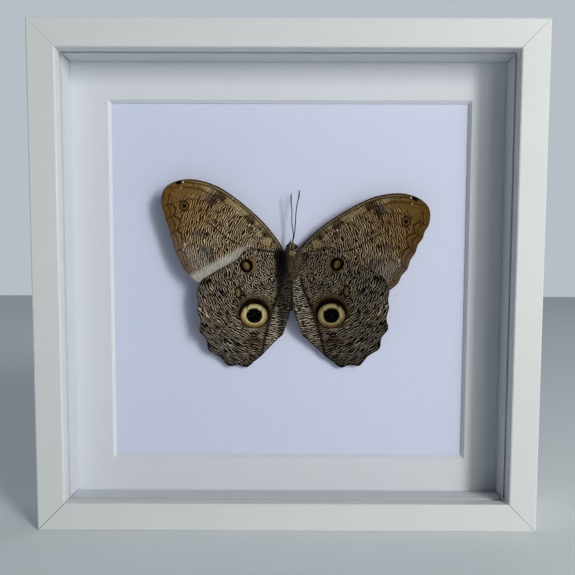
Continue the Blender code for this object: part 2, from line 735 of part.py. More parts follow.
def hindwing_outline(side):
    turn, growth = HINDWING_TURN[side], GROWTH[side]
    margin = scalloped(HIND_TIPS, HIND_NOTCHES)
    drawn = curve_through(HIND_COSTA + [tuple(p) for p in margin] + HIND_INNER, OUTLINE_STEP)
    placed = [wing_to_body(p, HINDWING_ROOT, turn, growth) for p in drawn]
    seam = (SEAM if side == "right" else -SEAM) + GAP / 2
    for point in placed:
        point.x = max(point.x, seam)
    neck = [(1.4, 129.0), (2.5, 129.9), (3.5, 130.9)]
    chord = []
    for z in (132.2, 133.6, 135.0, 136.6, 138.2):
        height = hindwing_height(FOREWING_ROOT[0], z)
        chord.append(Vector((side_at(THORAX, z, height) + ROOT_GAP, z)))
    return placed + [Vector(p) for p in neck] + chord


def build_wings(look):
    for side in ("left", "right"):
        turn, growth = FOREWING_TURN[side], GROWTH[side]
        veins = [[wing_to_body(p, FOREWING_ROOT, turn, growth) for p in curve_through(route, VEIN_STEP)]
                 for route in FORE_VEINS.values()]
        wing(f"forewing_{side}", forewing_outline(side), veins, forewing_height, side, look)
        turn = HINDWING_TURN[side]
        veins = [[wing_to_body(p, HINDWING_ROOT, turn, growth) for p in curve_through(route, VEIN_STEP)]
                 for route in HIND_VEINS.values()]
        wing(f"hindwing_{side}", hindwing_outline(side), veins, hindwing_height, side, look)


def main():
    clear_scene()
    looks = {"frame": material("white_frame", (0.72, 0.73, 0.71), 0.45),
             "spacer": material("white_spacer", (0.74, 0.75, 0.74), 0.6),
             "glass": material("glass", (0.95, 0.97, 0.97), 0.05, alpha=0.2),
             "mat": material("white_mat", (0.78, 0.79, 0.8), 0.9),
             "card": material("backing_card", (0.66, 0.69, 0.78), 0.95),
             "foam": material("foam_board", (0.8, 0.8, 0.8), 0.9),
             "panel": material("hardboard", (0.22, 0.13, 0.07), 0.8),
             "metal": material("steel", (0.5, 0.5, 0.5), 0.35, 1.0),
             "wing": material("wing_scales", (0.13, 0.1, 0.065), 0.75),
             "fur": material("brown_fur", (0.08, 0.055, 0.03), 0.9),
             "limb": material("dark_limb", (0.03, 0.025, 0.02), 0.6),
             "eye": material("black_eye", (0.005, 0.005, 0.007), 0.1)}
    build_case(looks)
    build_head(looks)
    build_thorax(looks["fur"])
    finish(lofted(ABDOMEN, 0.0, 16), "abdomen", looks["fur"], smooth=True)
    build_antennae(looks["limb"])
    build_palps(looks["fur"])
    build_legs(looks["limb"])
    build_wings(looks["wing"])
    pad = 0.9
    slab("mount_block", (4.0, pad - GAP, 8.0),
         (MIDLINE, at_height(GAP + (pad - GAP) / 2), 135.0), looks["foam"])


main()
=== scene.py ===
# %% [markdown]
# # A framed owl butterfly
# The object is a dried butterfly in a deep white box frame. Its underside faces us, because that
# is the side with the owl's eyes. The solid model gives every piece its true size and place, and
# this lesson gives each piece its finish.

# %% Load the solid model
import math

import bpy
import numpy as np
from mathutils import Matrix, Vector
from mathutils.kdtree import KDTree


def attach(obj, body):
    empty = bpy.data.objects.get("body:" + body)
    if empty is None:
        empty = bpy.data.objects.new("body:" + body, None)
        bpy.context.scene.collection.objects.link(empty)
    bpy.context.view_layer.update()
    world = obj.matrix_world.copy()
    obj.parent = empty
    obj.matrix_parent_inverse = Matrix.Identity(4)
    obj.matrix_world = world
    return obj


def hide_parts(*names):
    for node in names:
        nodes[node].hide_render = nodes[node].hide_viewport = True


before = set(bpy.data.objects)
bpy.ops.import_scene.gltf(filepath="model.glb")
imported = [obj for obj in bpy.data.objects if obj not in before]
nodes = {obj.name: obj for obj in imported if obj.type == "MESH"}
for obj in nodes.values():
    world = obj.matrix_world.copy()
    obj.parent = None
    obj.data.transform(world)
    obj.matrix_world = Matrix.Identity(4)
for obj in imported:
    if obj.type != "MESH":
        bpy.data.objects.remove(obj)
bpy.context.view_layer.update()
MM = 0.001
rng = np.random.default_rng(11)
draw = rng.uniform
SIGNS = {"left": -1, "right": 1}

# %% [markdown]
# ## The camera
# The photographer stood close: the left and right rails lean together towards the bottom, as they
# do when the camera looks slightly down from about 30 cm away. The small shift keeps the frame
# where it sits in the picture.

# %% The camera
IMAGE = 575                 # pixels along each side of the picture
FOCAL = 600                 # pixels
CAMERA_PLACE = (-0.14, -315.3, 126.43)
CAMERA_TURN = (86.112, -0.186, 0.118)


def add_camera():
    bpy.ops.object.camera_add(location=[c * MM for c in CAMERA_PLACE],
                              rotation=[math.radians(a) for a in CAMERA_TURN])
    camera = bpy.context.object
    camera.data.sensor_width = 36
    camera.data.lens = camera.data.sensor_width * FOCAL / IMAGE
    camera.data.shift_x, camera.data.shift_y = 0.0029, 0.0553
    camera.data.clip_start = 0.01
    bpy.context.scene.camera = camera
    return camera


camera = add_camera()
print("lens:", round(camera.data.lens, 2), "mm")

# %% [markdown]
# ## Finishes as sums
# A material is a small calculation that runs for every point of a surface. Wired node by node it
# is slow to read, so a number that varies over the surface is wrapped in a class that understands
# plus, minus, times and divide. Each sum adds the Math node that does it.


# %% Numbers that vary over a surface
def sums(operation):
    """A method that adds the Math node of one operation."""
    def method(self, *others):
        return self.tree.node("Math", {"operation": operation}, (self, *others))
    return method


class Value:
    """A socket's number. Sums on it become Math nodes in the same tree."""

    def __init__(self, tree, socket):
        self.tree, self.socket = tree, socket

    __add__ = __radd__ = sums("ADD")
    __mul__ = sums("MULTIPLY")
    __sub__, __truediv__, __pow__ = sums("SUBTRACT"), sums("DIVIDE"), sums("POWER")
    __abs__, sine, up_to = sums("ABSOLUTE"), sums("SINE"), sums("MINIMUM")

    def __rsub__(self, other):
        return self.tree.node("Math", {"operation": "SUBTRACT"}, (other, self))

    def fade(self, start, end):
        """0 at start and 1 at end, eased, whichever of the two is larger."""
        return self.tree.node("MapRange", {"interpolation_type": "SMOOTHSTEP"},
                              (self, start, end, 0, 1))


class Nodes:
    """A node tree in the making."""

    def __init__(self, tree):
        self.tree = tree

    def join(self, socket, value):
        if isinstance(value, Value):
            self.tree.links.new(value.socket, socket)
        else:
            socket.default_value = (*value, 1) if socket.type == "RGBA" else value

    def node(self, kind, settings, sockets, output=0):
        """Add any node: its settings first, then the values or links of its sockets."""
        made = self.tree.nodes.new("ShaderNode" + kind)
        for name, value in settings.items():
            setattr(made, name, value)
        named = sockets.items() if isinstance(sockets, dict) else enumerate(sockets)
        for name, value in named:
            self.join(made.inputs[name], value)
        return Value(self, made.outputs[output])

    def combine(self, *numbers):
        return self.node("CombineXYZ", {}, numbers)

    def parts(self, vector):
        split = self.node("SeparateXYZ", {}, [vector])
        return [Value(self, output) for output in split.socket.node.outputs]

    def mix(self, factor, first, second, blend="MIX"):
        return self.node("Mix", {"data_type": "RGBA", "blend_type": blend},
                         {0: factor, 6: first, 7: second}, 2)


class Finish(Nodes):
    """A material in the making, around one Principled shader."""

    def __init__(self, name, **sockets):
        self.material = bpy.data.materials.new(name)
        self.material.use_nodes = True
        super().__init__(self.material.node_tree)
        for socket, value in sockets.items():
            self.set(socket.replace("_", " "), value)

    def set(self, socket, value):
        self.join(self.tree.nodes["Principled BSDF"].inputs[socket], value)

    def between(self, factor, first, second):
        self.set("Base Color", self.mix(factor, first, second))

    def place(self):
        return self.node("TexCoord", {}, {}, "Object")

    def attribute(self, name):
        return self.node("Attribute", {"attribute_name": name}, {}, "Vector")

    def stretched(self, *scale):
        """The place, squeezed so that a noise on it runs in streaks."""
        return self.node("Mapping", {}, {"Vector": self.place(), "Scale": scale})

    def noise(self, scale, detail=2.0, roughness=0.5, at=None):
        return self.node("TexNoise", {}, {
            "Vector": at or self.place(), "Scale": scale, "Detail": detail,
            "Roughness": roughness})

    def lay(self, mask, colour):
        """Lay a colour over the one that is there, as far as the mask goes."""
        self.colour = self.mix(mask, self.colour, colour)

    def bump(self, height, distance, strength=1.0):
        self.set("Normal", self.node("Bump", {}, {
            "Strength": strength, "Distance": distance, "Height": height}))


print("finishes can be written as sums")

# %% [markdown]
# ## Floor and light
# The key lamp stands far off on the right and above the frame, tall and narrow. Its light is
# nearly parallel, so the right rail throws the same soft band of shadow down the whole mat. A
# broad panel nearer by lightens the shadows' edges. The sky is pale behind the frame and dim in
# front, which keeps the inside of the box dark. The view is plain sRGB, so that a colour written
# here is the colour seen.

# %% Floor and light
LAMPS = {   # place, width, height, power, colour
    "key": ((2.1, -2.5, 0.955), 0.6, 1.6, 62, (0.95, 0.98, 1)),
    "panel": ((0.45, -0.55, 0.32), 0.4, 0.5, 1.7, (1, 0.94, 0.82))}
CENTRE = Vector((0, 0, 0.125))
SKY_FRONT = (0.062, 0.072, 0.088)
SKY_BEHIND = (0.47, 0.52, 0.56)


def add_floor():
    bpy.ops.mesh.primitive_plane_add(size=6, location=(0, 1, 0))
    floor = bpy.context.object
    floor.name = "floor"
    finish = Finish("pale_floor", Roughness=0.6, Base_Color=(0.82, 0.87, 0.89))
    floor.data.materials.append(finish.material)


def add_lamp(name, place, width, height, power, colour):
    bpy.ops.object.light_add(type="AREA", location=place)
    lamp = bpy.context.object
    lamp.name = name
    lamp.rotation_euler = (Vector(place) - CENTRE).to_track_quat("Z", "Y").to_euler()
    lamp.data.shape = "RECTANGLE"
    lamp.data.size, lamp.data.size_y = width, height
    lamp.data.energy = power
    lamp.data.color = colour


def add_sky():
    """A sky that is dim on the viewer's side and pale behind the frame."""
    world = bpy.data.worlds.new("sky")
    bpy.context.scene.world = world
    world.use_nodes = True
    sky = Nodes(world.node_tree)
    behind = sky.parts(sky.node("TexCoord", {}, {}, "Generated"))[1]
    share = sky.node("MapRange", {}, (behind, 0, 0.5))
    sky.join(sky.tree.nodes["Background"].inputs["Color"], sky.mix(share, SKY_FRONT, SKY_BEHIND))


add_floor()
for name, lamp in LAMPS.items():
    add_lamp(name, *lamp)
add_sky()
bpy.context.scene.view_settings.view_transform = "Standard"
print("lamps:", list(LAMPS))


# %% [markdown]
# ## The frame's paint
# The moulding is smooth board under satin white paint. Up close such paint isn't flat: the roller
# leaves a fine orange-peel texture, and the sheen varies a little from place to place.

# %% The frame's paint
def wear(finish, low, high, scale):
    """A roughness that wanders between two values."""
    return finish.noise(scale, 3).fade(0.3, 0.7) * (high - low) + low


def cover(piece, finish):
    piece.data.materials.clear()
    piece.data.materials.append(finish.material)


def paint_nodes(finish, *names):
    for name in names:
        cover(nodes[name], finish)


def white_paint():
    finish = Finish("satin_white_paint", Specular_IOR_Level=0.35)
    cloud = finish.noise(9, 3)
    finish.between(cloud, (0.645, 0.665, 0.665), (0.7, 0.715, 0.715))
    finish.set("Roughness", wear(finish, 0.42, 0.55, 60))
    finish.bump(finish.noise(900), 0.00006, 0.6)
    return finish


SIDES = ("top", "bottom", "left", "right")
paint_nodes(white_paint(), *[f"rail_{side}" for side in SIDES])
print("painted", len(SIDES), "rails")

# %% [markdown]
# ## Board, card and glass
# The spacers and the window mat are white board with a faint paper fibre. The card behind the
# butterfly is a cooler, slightly blue white. The glass is mostly clear, and only keeps a trace of
# gloss.


# %% Board and card
def fibrous(name, first, second, tooth):
    """Matt board: two close whites in soft clouds, with a fine tooth."""
    finish = Finish(name, Roughness=0.92, Specular_IOR_Level=0.2)
    cloud = finish.noise(14, 4)
    fibre = finish.noise(1100, 3, 0.6, at=finish.stretched(1, 1, 2.6))
    finish.between(cloud * 0.7 + fibre * 0.3, first, second)
    finish.bump(fibre, tooth, 0.5)
    return finish


paint_nodes(fibrous("spacer_board", (0.64, 0.67, 0.71), (0.7, 0.72, 0.76), 0.00008),
            *[f"spacer_{side}" for side in SIDES])
paint_nodes(fibrous("mat_board", (0.67, 0.695, 0.74), (0.72, 0.74, 0.78), 0.00005), "mat")
paint_nodes(fibrous("backing_card", (0.65, 0.69, 0.86), (0.7, 0.735, 0.9), 0.00005),
            "backing_card")
paint_nodes(fibrous("foam_core", (0.74, 0.74, 0.73), (0.8, 0.8, 0.79), 0.00008),
            "foam_board", "mount_block")
print("covered the boards")


# %% The back: hardboard and steel
def hardboard():
    finish = Finish("hardboard", Specular_IOR_Level=0.3)
    fibre = finish.noise(900, 5, 0.65, at=finish.stretched(1, 1, 0.35))
    cloud = finish.noise(25, 4)
    shade = (fibre * 0.7 + cloud * 0.3).fade(0.3, 0.7)
    finish.between(shade, (0.13, 0.07, 0.035), (0.3, 0.18, 0.09))
    finish.set("Roughness", wear(finish, 0.55, 0.8, 200))
    finish.bump(fibre, 0.00012, 0.7)
    return finish


def zinc_steel():
    finish = Finish("zinc_steel", Metallic=1.0)
    spangle = finish.noise(380)
    finish.between(spangle, (0.42, 0.43, 0.44), (0.62, 0.62, 0.61))
    finish.set("Roughness", wear(finish, 0.25, 0.5, 500))
    finish.bump(finish.noise(2500), 0.00003, 0.5)
    return finish


paint_nodes(hardboard(), "back_panel")
paint_nodes(zinc_steel(), "hanger", *[n for n in nodes if n.startswith("point_")])
print("finished the back")


# %% The glass
def picture_glass():
    finish = Finish("picture_glass", Roughness=0.04, Alpha=0.02, Specular_IOR_Level=0.5)
    tint = finish.noise(30, 4)
    finish.between(tint, (0.01, 0.014, 0.013), (0.02, 0.026, 0.025))
    return finish


paint_nodes(picture_glass(), "glazing")
print("the glass is clear")

# %% [markdown]
# ## Wing coordinates
# A wing's markings follow its veins, not the room. So every point of a wing gets coordinates of
# its own, in millimetres: u runs out from the root, v runs forward. The values that placed the
# wings in the solid model turn world coordinates back into these. One pattern then serves both
# sides, mirrored on the left.

# %% Wing coordinates
MIDLINE = 1.9
ROOT_X = 4.0
ROOT_Z = {"forewing": 140, "hindwing": 138}
TURN = {"forewing_left": 28.7, "forewing_right": 20,
        "hindwing_left": -3, "hindwing_right": 0}
GROWTH = {"left": 1, "right": 1.02}


def in_wing(name, points):
    """The (u, v) of world points, given in metres as an array of x, y, z."""
    kind, side = name.split("_")
    out = (points[:, 0] / MM - MIDLINE) * SIGNS[side] - ROOT_X
    up = points[:, 2] / MM - ROOT_Z[kind]
    turn = math.radians(TURN[name])
    return np.column_stack((out * math.cos(turn) + up * math.sin(turn),
                            up * math.cos(turn) - out * math.sin(turn))) / GROWTH[side]


print("wing root at", MIDLINE + ROOT_X, "mm")

# %% [markdown]
# ## The veins
# Veins are the wing's ribs. They fan out from the root, fork around a long closed cell, and end
# at the margin. The solid model raises them as ridges. Their lines are needed again here, because
# the dark scales follow them: each point is told how far the nearest vein is.

# %% The veins
VEINS = {
    "forewing": (
        [(3.5, 2), (12, 5.6), (22, 8.4), (31, 10.9)],
        [(2.5, 0.6), (9, 2.9), (18, 5.4), (27, 6.6), (36, 7.4), (46, 7.6), (56, 5.6),
         (65.4, 0.2)],
        [(25, 6.4), (33, 9.4), (40, 11.6)],
        [(31, 7), (40, 9.9), (48, 11.3)],
        [(48, 7.5), (56, 7.8), (61.5, 5.8)],
        [(34, 7.3), (40, 5.6), (52.9, 0.8), (57.3, -2.9), (63.4, -9.2)],
        [(35, 2.6), (43.9, -0.5), (53.1, -5.9), (58.8, -13.6)],
        [(34, 7.3), (35, 2.6), (37.6, -1.6), (41.4, -5.6)],
        [(2.2, -1.2), (10.9, -4.7), (16.5, -6.6), (25.5, -7.8), (32, -7), (41.4, -5.6),
         (46.5, -9.6), (50.2, -13.4), (53.4, -19.2)],
        [(33, -6.9), (38, -13.2), (44, -21.1), (47, -25.6)],
        [(24, -7.8), (30, -16.5), (35.4, -24.1), (40.2, -30.4)],
        [(2.4, -3.4), (9, -7.6), (17.5, -13.6), (25.5, -22), (32.6, -31.6)]),
    "hindwing": (
        [(3, 0), (12, 0.6), (22, -2), (33, -7.8), (42.2, -13.4)],
        [(2.2, -1.8), (9, -4.6), (16, -7.4), (28, -10.6), (37, -13.4), (43.8, -17.6)],
        [(16, -7.4), (20, -11.4), (33, -18.8), (43.7, -25)],
        [(20, -11.4), (21.5, -14.6), (33, -25.2), (43.5, -35.2)],
        [(2, -3.4), (6, -9.5), (10, -14.6), (15.5, -17.8), (21.5, -21), (32, -35),
         (40.2, -45.6)],
        [(20, -11.4), (21.5, -14.6), (19.6, -19.8)],
        [(15.5, -17.8), (19.1, -25), (21.1, -32.2), (26.4, -45), (30.9, -54.6)],
        [(10, -14.6), (11.9, -26.1), (13.9, -33.3), (18.4, -46), (21.5, -55.7)],
        [(1.2, -5.4), (1.8, -14.6), (4.7, -22.1), (7.8, -29.7), (11, -40), (13.6, -49.8)],
        [(-1.5, -12.5), (-1.4, -20), (0.6, -29), (3.6, -38)])}


def smooth_route(points, pieces=10):
    """Points of a Catmull-Rom curve through the given ones."""
    knots = np.array([2 * np.array(points[0]) - points[1], *points,
                      2 * np.array(points[-1]) - points[-2]])
    drawn = []
    for a, b, c, d in zip(knots, knots[1:], knots[2:], knots[3:]):
        for t in np.arange(pieces) / pieces:
            drawn.append(0.5 * (2 * b + (c - a) * t + (2 * a - 5 * b + 4 * c - d) * t * t
                                + (3 * b - a - 3 * c + d) * t ** 3))
    drawn.append(knots[-2])
    return np.array(drawn)


def distance_to_route(points, route):
    """Each point's shortest distance to a chain of points."""
    best = np.full(len(points), 1e9)
    for start, end in zip(route, route[1:]):
        leg = end - start
        t = np.clip(((points - start) @ leg) / (leg @ leg), 0, 1)
        best = np.minimum(best, np.linalg.norm(points - start - t[:, None] * leg, axis=1))
    return best


ROUTES = {kind: [smooth_route(vein) for vein in veins] for kind, veins in VEINS.items()}
print("veins:", {kind: len(routes) for kind, routes in ROUTES.items()})

# %% [markdown]
# ## The wings
# Each wing starts as a copy of its solid, merged and divided finely, because the shape is already
# right. On the real wing the veins hardly stand out, so their ridges are eased down, and the
# membrane gets the slight waviness of something dried flat. Then every vertex is told its wing
# coordinates and its distances to the nearest vein and to the margin.

# %% Copy and refine a wing
VEIN_HALF = 0.55            # half width of a ridge in the solid, mm
VEIN_RISE = 0.28
EASE = 0.6                  # how much of a ridge's height is taken away
WAVE = 0.09                 # height of the membrane's waviness, mm
FOLD = 8                    # the vein that lies in the crease, on both kinds of wing
WALL = 0.35                 # the side wall's faces turn less than this to the front or back


def activate(piece):
    bpy.ops.object.select_all(action="DESELECT")
    piece.select_set(True)
    bpy.context.view_layer.objects.active = piece


def fine_copy(name, node, cuts):
    """A merged, finely divided copy of a CAD node."""
    piece = nodes[node].copy()
    piece.data = nodes[node].data.copy()
    piece.name = name
    bpy.context.scene.collection.objects.link(piece)
    activate(piece)
    bpy.ops.object.mode_set(mode="EDIT")
    bpy.ops.mesh.select_all(action="SELECT")
    bpy.ops.mesh.remove_doubles(threshold=1e-7)
    bpy.ops.mesh.subdivide(number_cuts=cuts)
    bpy.ops.object.mode_set(mode="OBJECT")
    bpy.ops.object.shade_smooth_by_angle(angle=math.radians(40))
    return piece


def vertex_array(piece, what="co"):
    flat = np.empty(len(piece.data.vertices) * 3)
    piece.data.vertices.foreach_get(what, flat)
    return flat.reshape(-1, 3)


def add_attribute(piece, name, *columns):
    """Up to three numbers for every vertex."""
    values = np.zeros((len(columns[0]), 3), np.float32)
    values[:, :len(columns)] = np.column_stack(columns)
    made = piece.data.attributes.new(name, "FLOAT_VECTOR", "POINT")
    made.data.foreach_set("vector", values.ravel())


def margin_points(piece):
    """Vertices of the side wall, where the sheet's two faces meet its edge."""
    found = set()
    for face in piece.data.polygons:
        if abs(face.normal.y) < WALL:
            found.update(face.vertices)
    return sorted(found)


def dress_wing(name, finish):
    piece = fine_copy(f"{name}_scales", name, 3)
    kind = name.split("_")[0]
    points = vertex_array(piece)
    front = np.where(vertex_array(piece, "normal")[:, 1] < 0, -1, 1)
    place = in_wing(name, points)
    vein = np.min([distance_to_route(place, route) for route in ROUTES[kind]], axis=0)
    rim = margin_points(piece)
    tree = KDTree(len(rim))
    for number, index in enumerate(rim):
        tree.insert((*place[index], 0), number)
    tree.balance()
    margin = np.array([tree.find((u, v, 0))[2] for u, v in place])
    ridge = VEIN_RISE * np.clip(1 - vein / VEIN_HALF, 0, 1) * np.where(front < 0, 1, 0.6)
    u, v = place.T
    wave = np.sin(u * 0.55 + v * 0.21) * np.sin(v * 0.47 - u * 0.13) + 0.4 * np.sin(v * 0.9)
    points[:, 1] += (WAVE * wave - front * ridge * EASE) * MM
    piece.data.vertices.foreach_set("co", points.ravel())
    piece.data.update()
    add_attribute(piece, "wing", u, v, vein)
    add_attribute(piece, "rim", np.hypot(u, v), np.arctan2(v, u + 6) * 30, margin)
    fold = distance_to_route(place, ROUTES[kind][FOLD])
    add_attribute(piece, "fold", fold, np.full(len(u), float(name.endswith("left"))))
    cover(piece, finish)
    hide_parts(name)
    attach(piece, "root")
    print(name, "faces:", len(piece.data.polygons))
    return piece


# %% [markdown]
# ## Wing scales
# A butterfly's colours are dust: rows of tiny scales. On this side they draw fine dark ripples
# across the wing, a millimetre apart, which run round the root like the rings of a tree. Both
# kinds of wing share that ground, so one function lays it, and the markings go on top.


# %% The rippled ground
class WingFinish(Finish):
    """A finish that reads the wing's own coordinates."""

    def __init__(self, name, low, high):
        super().__init__(name, Roughness=1.0, Specular_IOR_Level=0.0)
        self.u, self.v, self.vein = self.parts(self.place())
        self.reach, self.arc, self.margin = self.parts(self.attribute("rim"))
        # The second number is 1 on the left wings, which get painted light and painted shade.
        self.fold, self.left_light_shade = self.parts(self.attribute("fold"))[:2]
        self.wander = self.noise(0.35) * 0.6 + self.noise(1.2) * 0.4 - 0.5
        self.blotch = self.noise(0.17, 4, 0.6)
        self.mottle = self.noise(0.55, 3, 0.6)
        self.ripple = self.ripples(low, high)

    def place(self):
        return self.attribute("wing")

    def ripples(self, low, high):
        """Broken, wavy dark lines about a millimetre apart, round the root: 0 dark, 1 pale."""
        together = self.noise(1, 1, at=self.combine(self.reach * 0.2, self.arc * 0.32)) - 0.5
        apart = self.noise(0.55, 0) - 0.5
        reach = self.reach + (together * 2.8 + apart)
        grain = self.noise(1.1, 2, 0.6, at=self.combine(reach * 1.5, self.arc * 0.42))
        return ((reach * 5.8).sine() * 0.27 + grain + self.mottle * 0.26).fade(low, high)

    def spot(self, centre, radii, soft=0.08, wobble=0.0, lean=0.0):
        """1 inside an ellipse, 0 outside. It may lean, and its outline may wander."""
        du, dv = self.u - centre[0], self.v - centre[1]
        if lean:
            across, along = math.cos(lean), math.sin(lean)
            du, dv = du * across + dv * along, dv * across - du * along
        du, dv = du / radii[0], dv / radii[1]
        far = (du * du + dv * dv) ** 0.5
        if wobble:
            far = far + self.wander * wobble
        return far.fade(1.0 + soft, 1.0 - soft)

    def dab(self, strength, colour, *spot):
        """Lay a colour over an ellipse."""
        self.lay(self.spot(*spot) * strength, colour)

    def patches(self, places, strength, colour, soft, wobble):
        for centre, radii in places:
            self.dab(strength, colour, centre, radii, soft, wobble)

    def finish(self, paler):
        """The left wings catch the light more fully, so their scales are painted paler: painted
        light.
        """
        tint = self.mix(self.left_light_shade, (1, 1, 1), (paler, paler, paler))
        self.set("Base Color", self.mix(1, self.colour, tint, "MULTIPLY"))
        self.bump(self.ripple, 0.00003, 0.2)
        return self


print("rippled ground ready")

# %% [markdown]
# ## The hindwing
# From back to front: a grey-brown ground with a pale inner edge; a painted shadow, nearly black,
# in the hollow on the left of the body, and a smaller painted shadow by the root; smudges towards
# the foot and the outer edge; painted shade in the crease; the big eye, with its smoky brow, cream
# ring and black pupil; the small upper eye with its ochre heart; the narrow oval between them; and
# last the dark veins, which cut through the ring. The left wing is painted paler, as painted
# light.


# %% Paint the hindwing
BIG_EYE, UPPER_EYE, OVAL = (16.4, -29.85), (18.9, -4.25), (23.8, -17.6)
# Brown-black of veins and smudges; in the crease it is laid as painted shade.
BROWN_BLACK = (0.008, 0.006, 0.005)


def hindwing_finish():
    wing = WingFinish("hindwing_scales", 0.72, 0.9)
    u, v, ripple = wing.u, wing.v, wing.ripple
    shade = (wing.blotch + wing.reach * 0.004).fade(0.42, 0.75)
    dark = wing.mix(shade, (0.006, 0.004, 0.002), (0.003, 0.002, 0.0015))
    pale = wing.mix(shade, (0.38, 0.3, 0.19), (0.26, 0.215, 0.165))
    rust = wing.spot((18.3, -43.5), (4, 3.5), 0.5, 1.6)
    pale = wing.mix(rust * 0.8, pale, (0.13, 0.075, 0.02))
    fleck = wing.spot((32, -44.5), (3.5, 2.2), 0.5, 1.6)
    pale = wing.mix(fleck * 0.6, pale, (0.36, 0.37, 0.3))
    wing.colour = wing.mix(ripple, dark, pale)
    smut = wing.noise(0.33, 3).fade(0.5, 0.6) * v.fade(-36, -45)
    wing.lay(smut * 0.45, BROWN_BLACK)
    blot = wing.noise(0.29, 3).fade(0.54, 0.64) * u.fade(22, 30)
    wing.lay(blot * 0.35, BROWN_BLACK)
    inner = (u * 0.94 + (v + 14.6) * 0.34).fade(2.4, 1.2)
    wing.lay(inner * 0.85, wing.mix(ripple, (0.014, 0.009, 0.006), (0.52, 0.45, 0.34)))
    # Painted shadow by the root.
    wing.dab(0.75, (0.012, 0.009, 0.007), (3.2, -0.6), (1.8, 2.8), 0.5, 1.6)
    # Painted shadow: nearly black in the hollow beside the body, on the left wing only.
    hollow = u.fade(5.8, 3.2) * v.fade(-56, -26) * wing.left_light_shade
    wing.lay(hollow * (v.fade(-15, -9) * 0.13 + 0.85), (0.004, 0.0035, 0.0035))
    foot = (wing.margin + wing.wander * 3).fade(3.6, 1.2) * v.fade(-42, -50)
    wing.lay(foot * (0.85 - ripple * 0.3), (0.009, 0.006, 0.005))
    # Painted shade along the crease.
    crease = wing.fold.fade(1.9, 0.4) * 0.65 + wing.fold.fade(0.7, 0.3) * 0.3
    wing.lay(crease * v.fade(-8, -13), BROWN_BLACK)
    paint_big_eye(wing)
    paint_upper_eye(wing)
    wing.dab(1, (0.005, 0.003, 0.002), OVAL, (2, 3.05), 0.08, 0.1)
    olive = wing.mix(ripple, (0.085, 0.064, 0.03), (0.135, 0.106, 0.052))
    wing.dab(1, olive, (OVAL[0] + 0.1, OVAL[1]), (1.1, 2.05), 0.14, 0.1)
    wing.lay(wing.vein.fade(0.26, 0.08) * 0.65, BROWN_BLACK)
    wing.lay(wing.margin.fade(0.75, 0.15) * 0.8, (0.01, 0.008, 0.007))
    return wing.finish(1.5)


def paint_big_eye(wing):
    """Smoke and two smudges below it, the black disc, the ring with a notch, and the pupil."""
    u, v = BIG_EYE
    wing.dab(0.88, (0.042, 0.026, 0.008), (u - 0.2, v + 2.9), (8.9, 8.1), 0.22, 0.5)
    wing.dab(0.55, (0.1, 0.048, 0.018), (u - 3.8, v - 6.8), (2, 1.3), 0.5, 0.8)
    wing.dab(0.6, (0.32, 0.3, 0.24), (u + 1.2, v - 6.8), (2.4, 0.7), 0.5, 0.8)
    wing.dab(1, (0.0025, 0.002, 0.0015), (u - 0.1, v + 1.1), (8, 7.85), 0.08, 0.1)
    middle = v - u * 0.3
    low = (wing.v - wing.u * 0.3).fade(middle - 1, middle - 7)
    cream = wing.mix(low, (0.37, 0.315, 0.155), (0.29, 0.22, 0.09))
    rim = wing.mix(low, (0.2, 0.145, 0.05), (0.11, 0.052, 0.012))
    core = wing.spot((u, v + 0.4), (5.45, 4.95), 0.14, 0.14)
    notch = wing.spot((u + 3.2, v + 5), (0.5, 1.3), 0.3, 0, 0.5)
    ring = wing.mix(notch * 0.8, wing.mix(core, rim, cream), (0.02, 0.015, 0.008))
    wing.dab(1, ring, BIG_EYE, (6.6, 6), 0.06, 0.08)
    speckle = (wing.noise(2.6) - 0.5) * wing.v.fade(v, v + 3)
    du, dv = (wing.u - u + 0.1) / 4.15, (wing.v - v - 0.1) / 3.9
    far = (du * du + dv * dv) ** 0.5 + speckle * 0.8 + wing.wander * 0.15
    wing.lay(far.fade(1.07, 0.93), (0.001, 0.001, 0.001))


def paint_upper_eye(wing):
    u, v = UPPER_EYE
    wing.dab(0.85, (0.105, 0.066, 0.021), (u - 1.3, v - 0.2), (3.9, 4), 0.14, 0.25)
    wing.dab(1, (0.003, 0.002, 0.0015), UPPER_EYE, (3.35, 3.55), 0.08, 0.1)
    middle = u - v * 0.4
    light = (wing.u - wing.v * 0.4).fade(middle + 1.2, middle - 0.6)
    ochre = wing.mix(light, (0.072, 0.036, 0.009), (0.115, 0.08, 0.022))
    wing.dab(1, ochre, (u + 0.2, v), (1.45, 1.95), 0.18, 0.1, -0.35)


hindwing = hindwing_finish()
hindwings = {side: dress_wing(f"hindwing_{side}", hindwing) for side in SIGNS}

# %% [markdown]
# ## The forewing
# Its ground turns from grey-brown at the root to orange-brown at the tip. Yellowish patches with
# dark gaps line the front edge. Along the outer edge run two thin dark lines that bulge inwards
# between the veins, so each bulge can be drawn from the distance to the nearest vein. Near the
# tip sits a small eye and a black dot with two white flecks. The rear edge stays pale. On the
# left the root is nearly black, a painted shadow, and along the crease lies a painted shade.

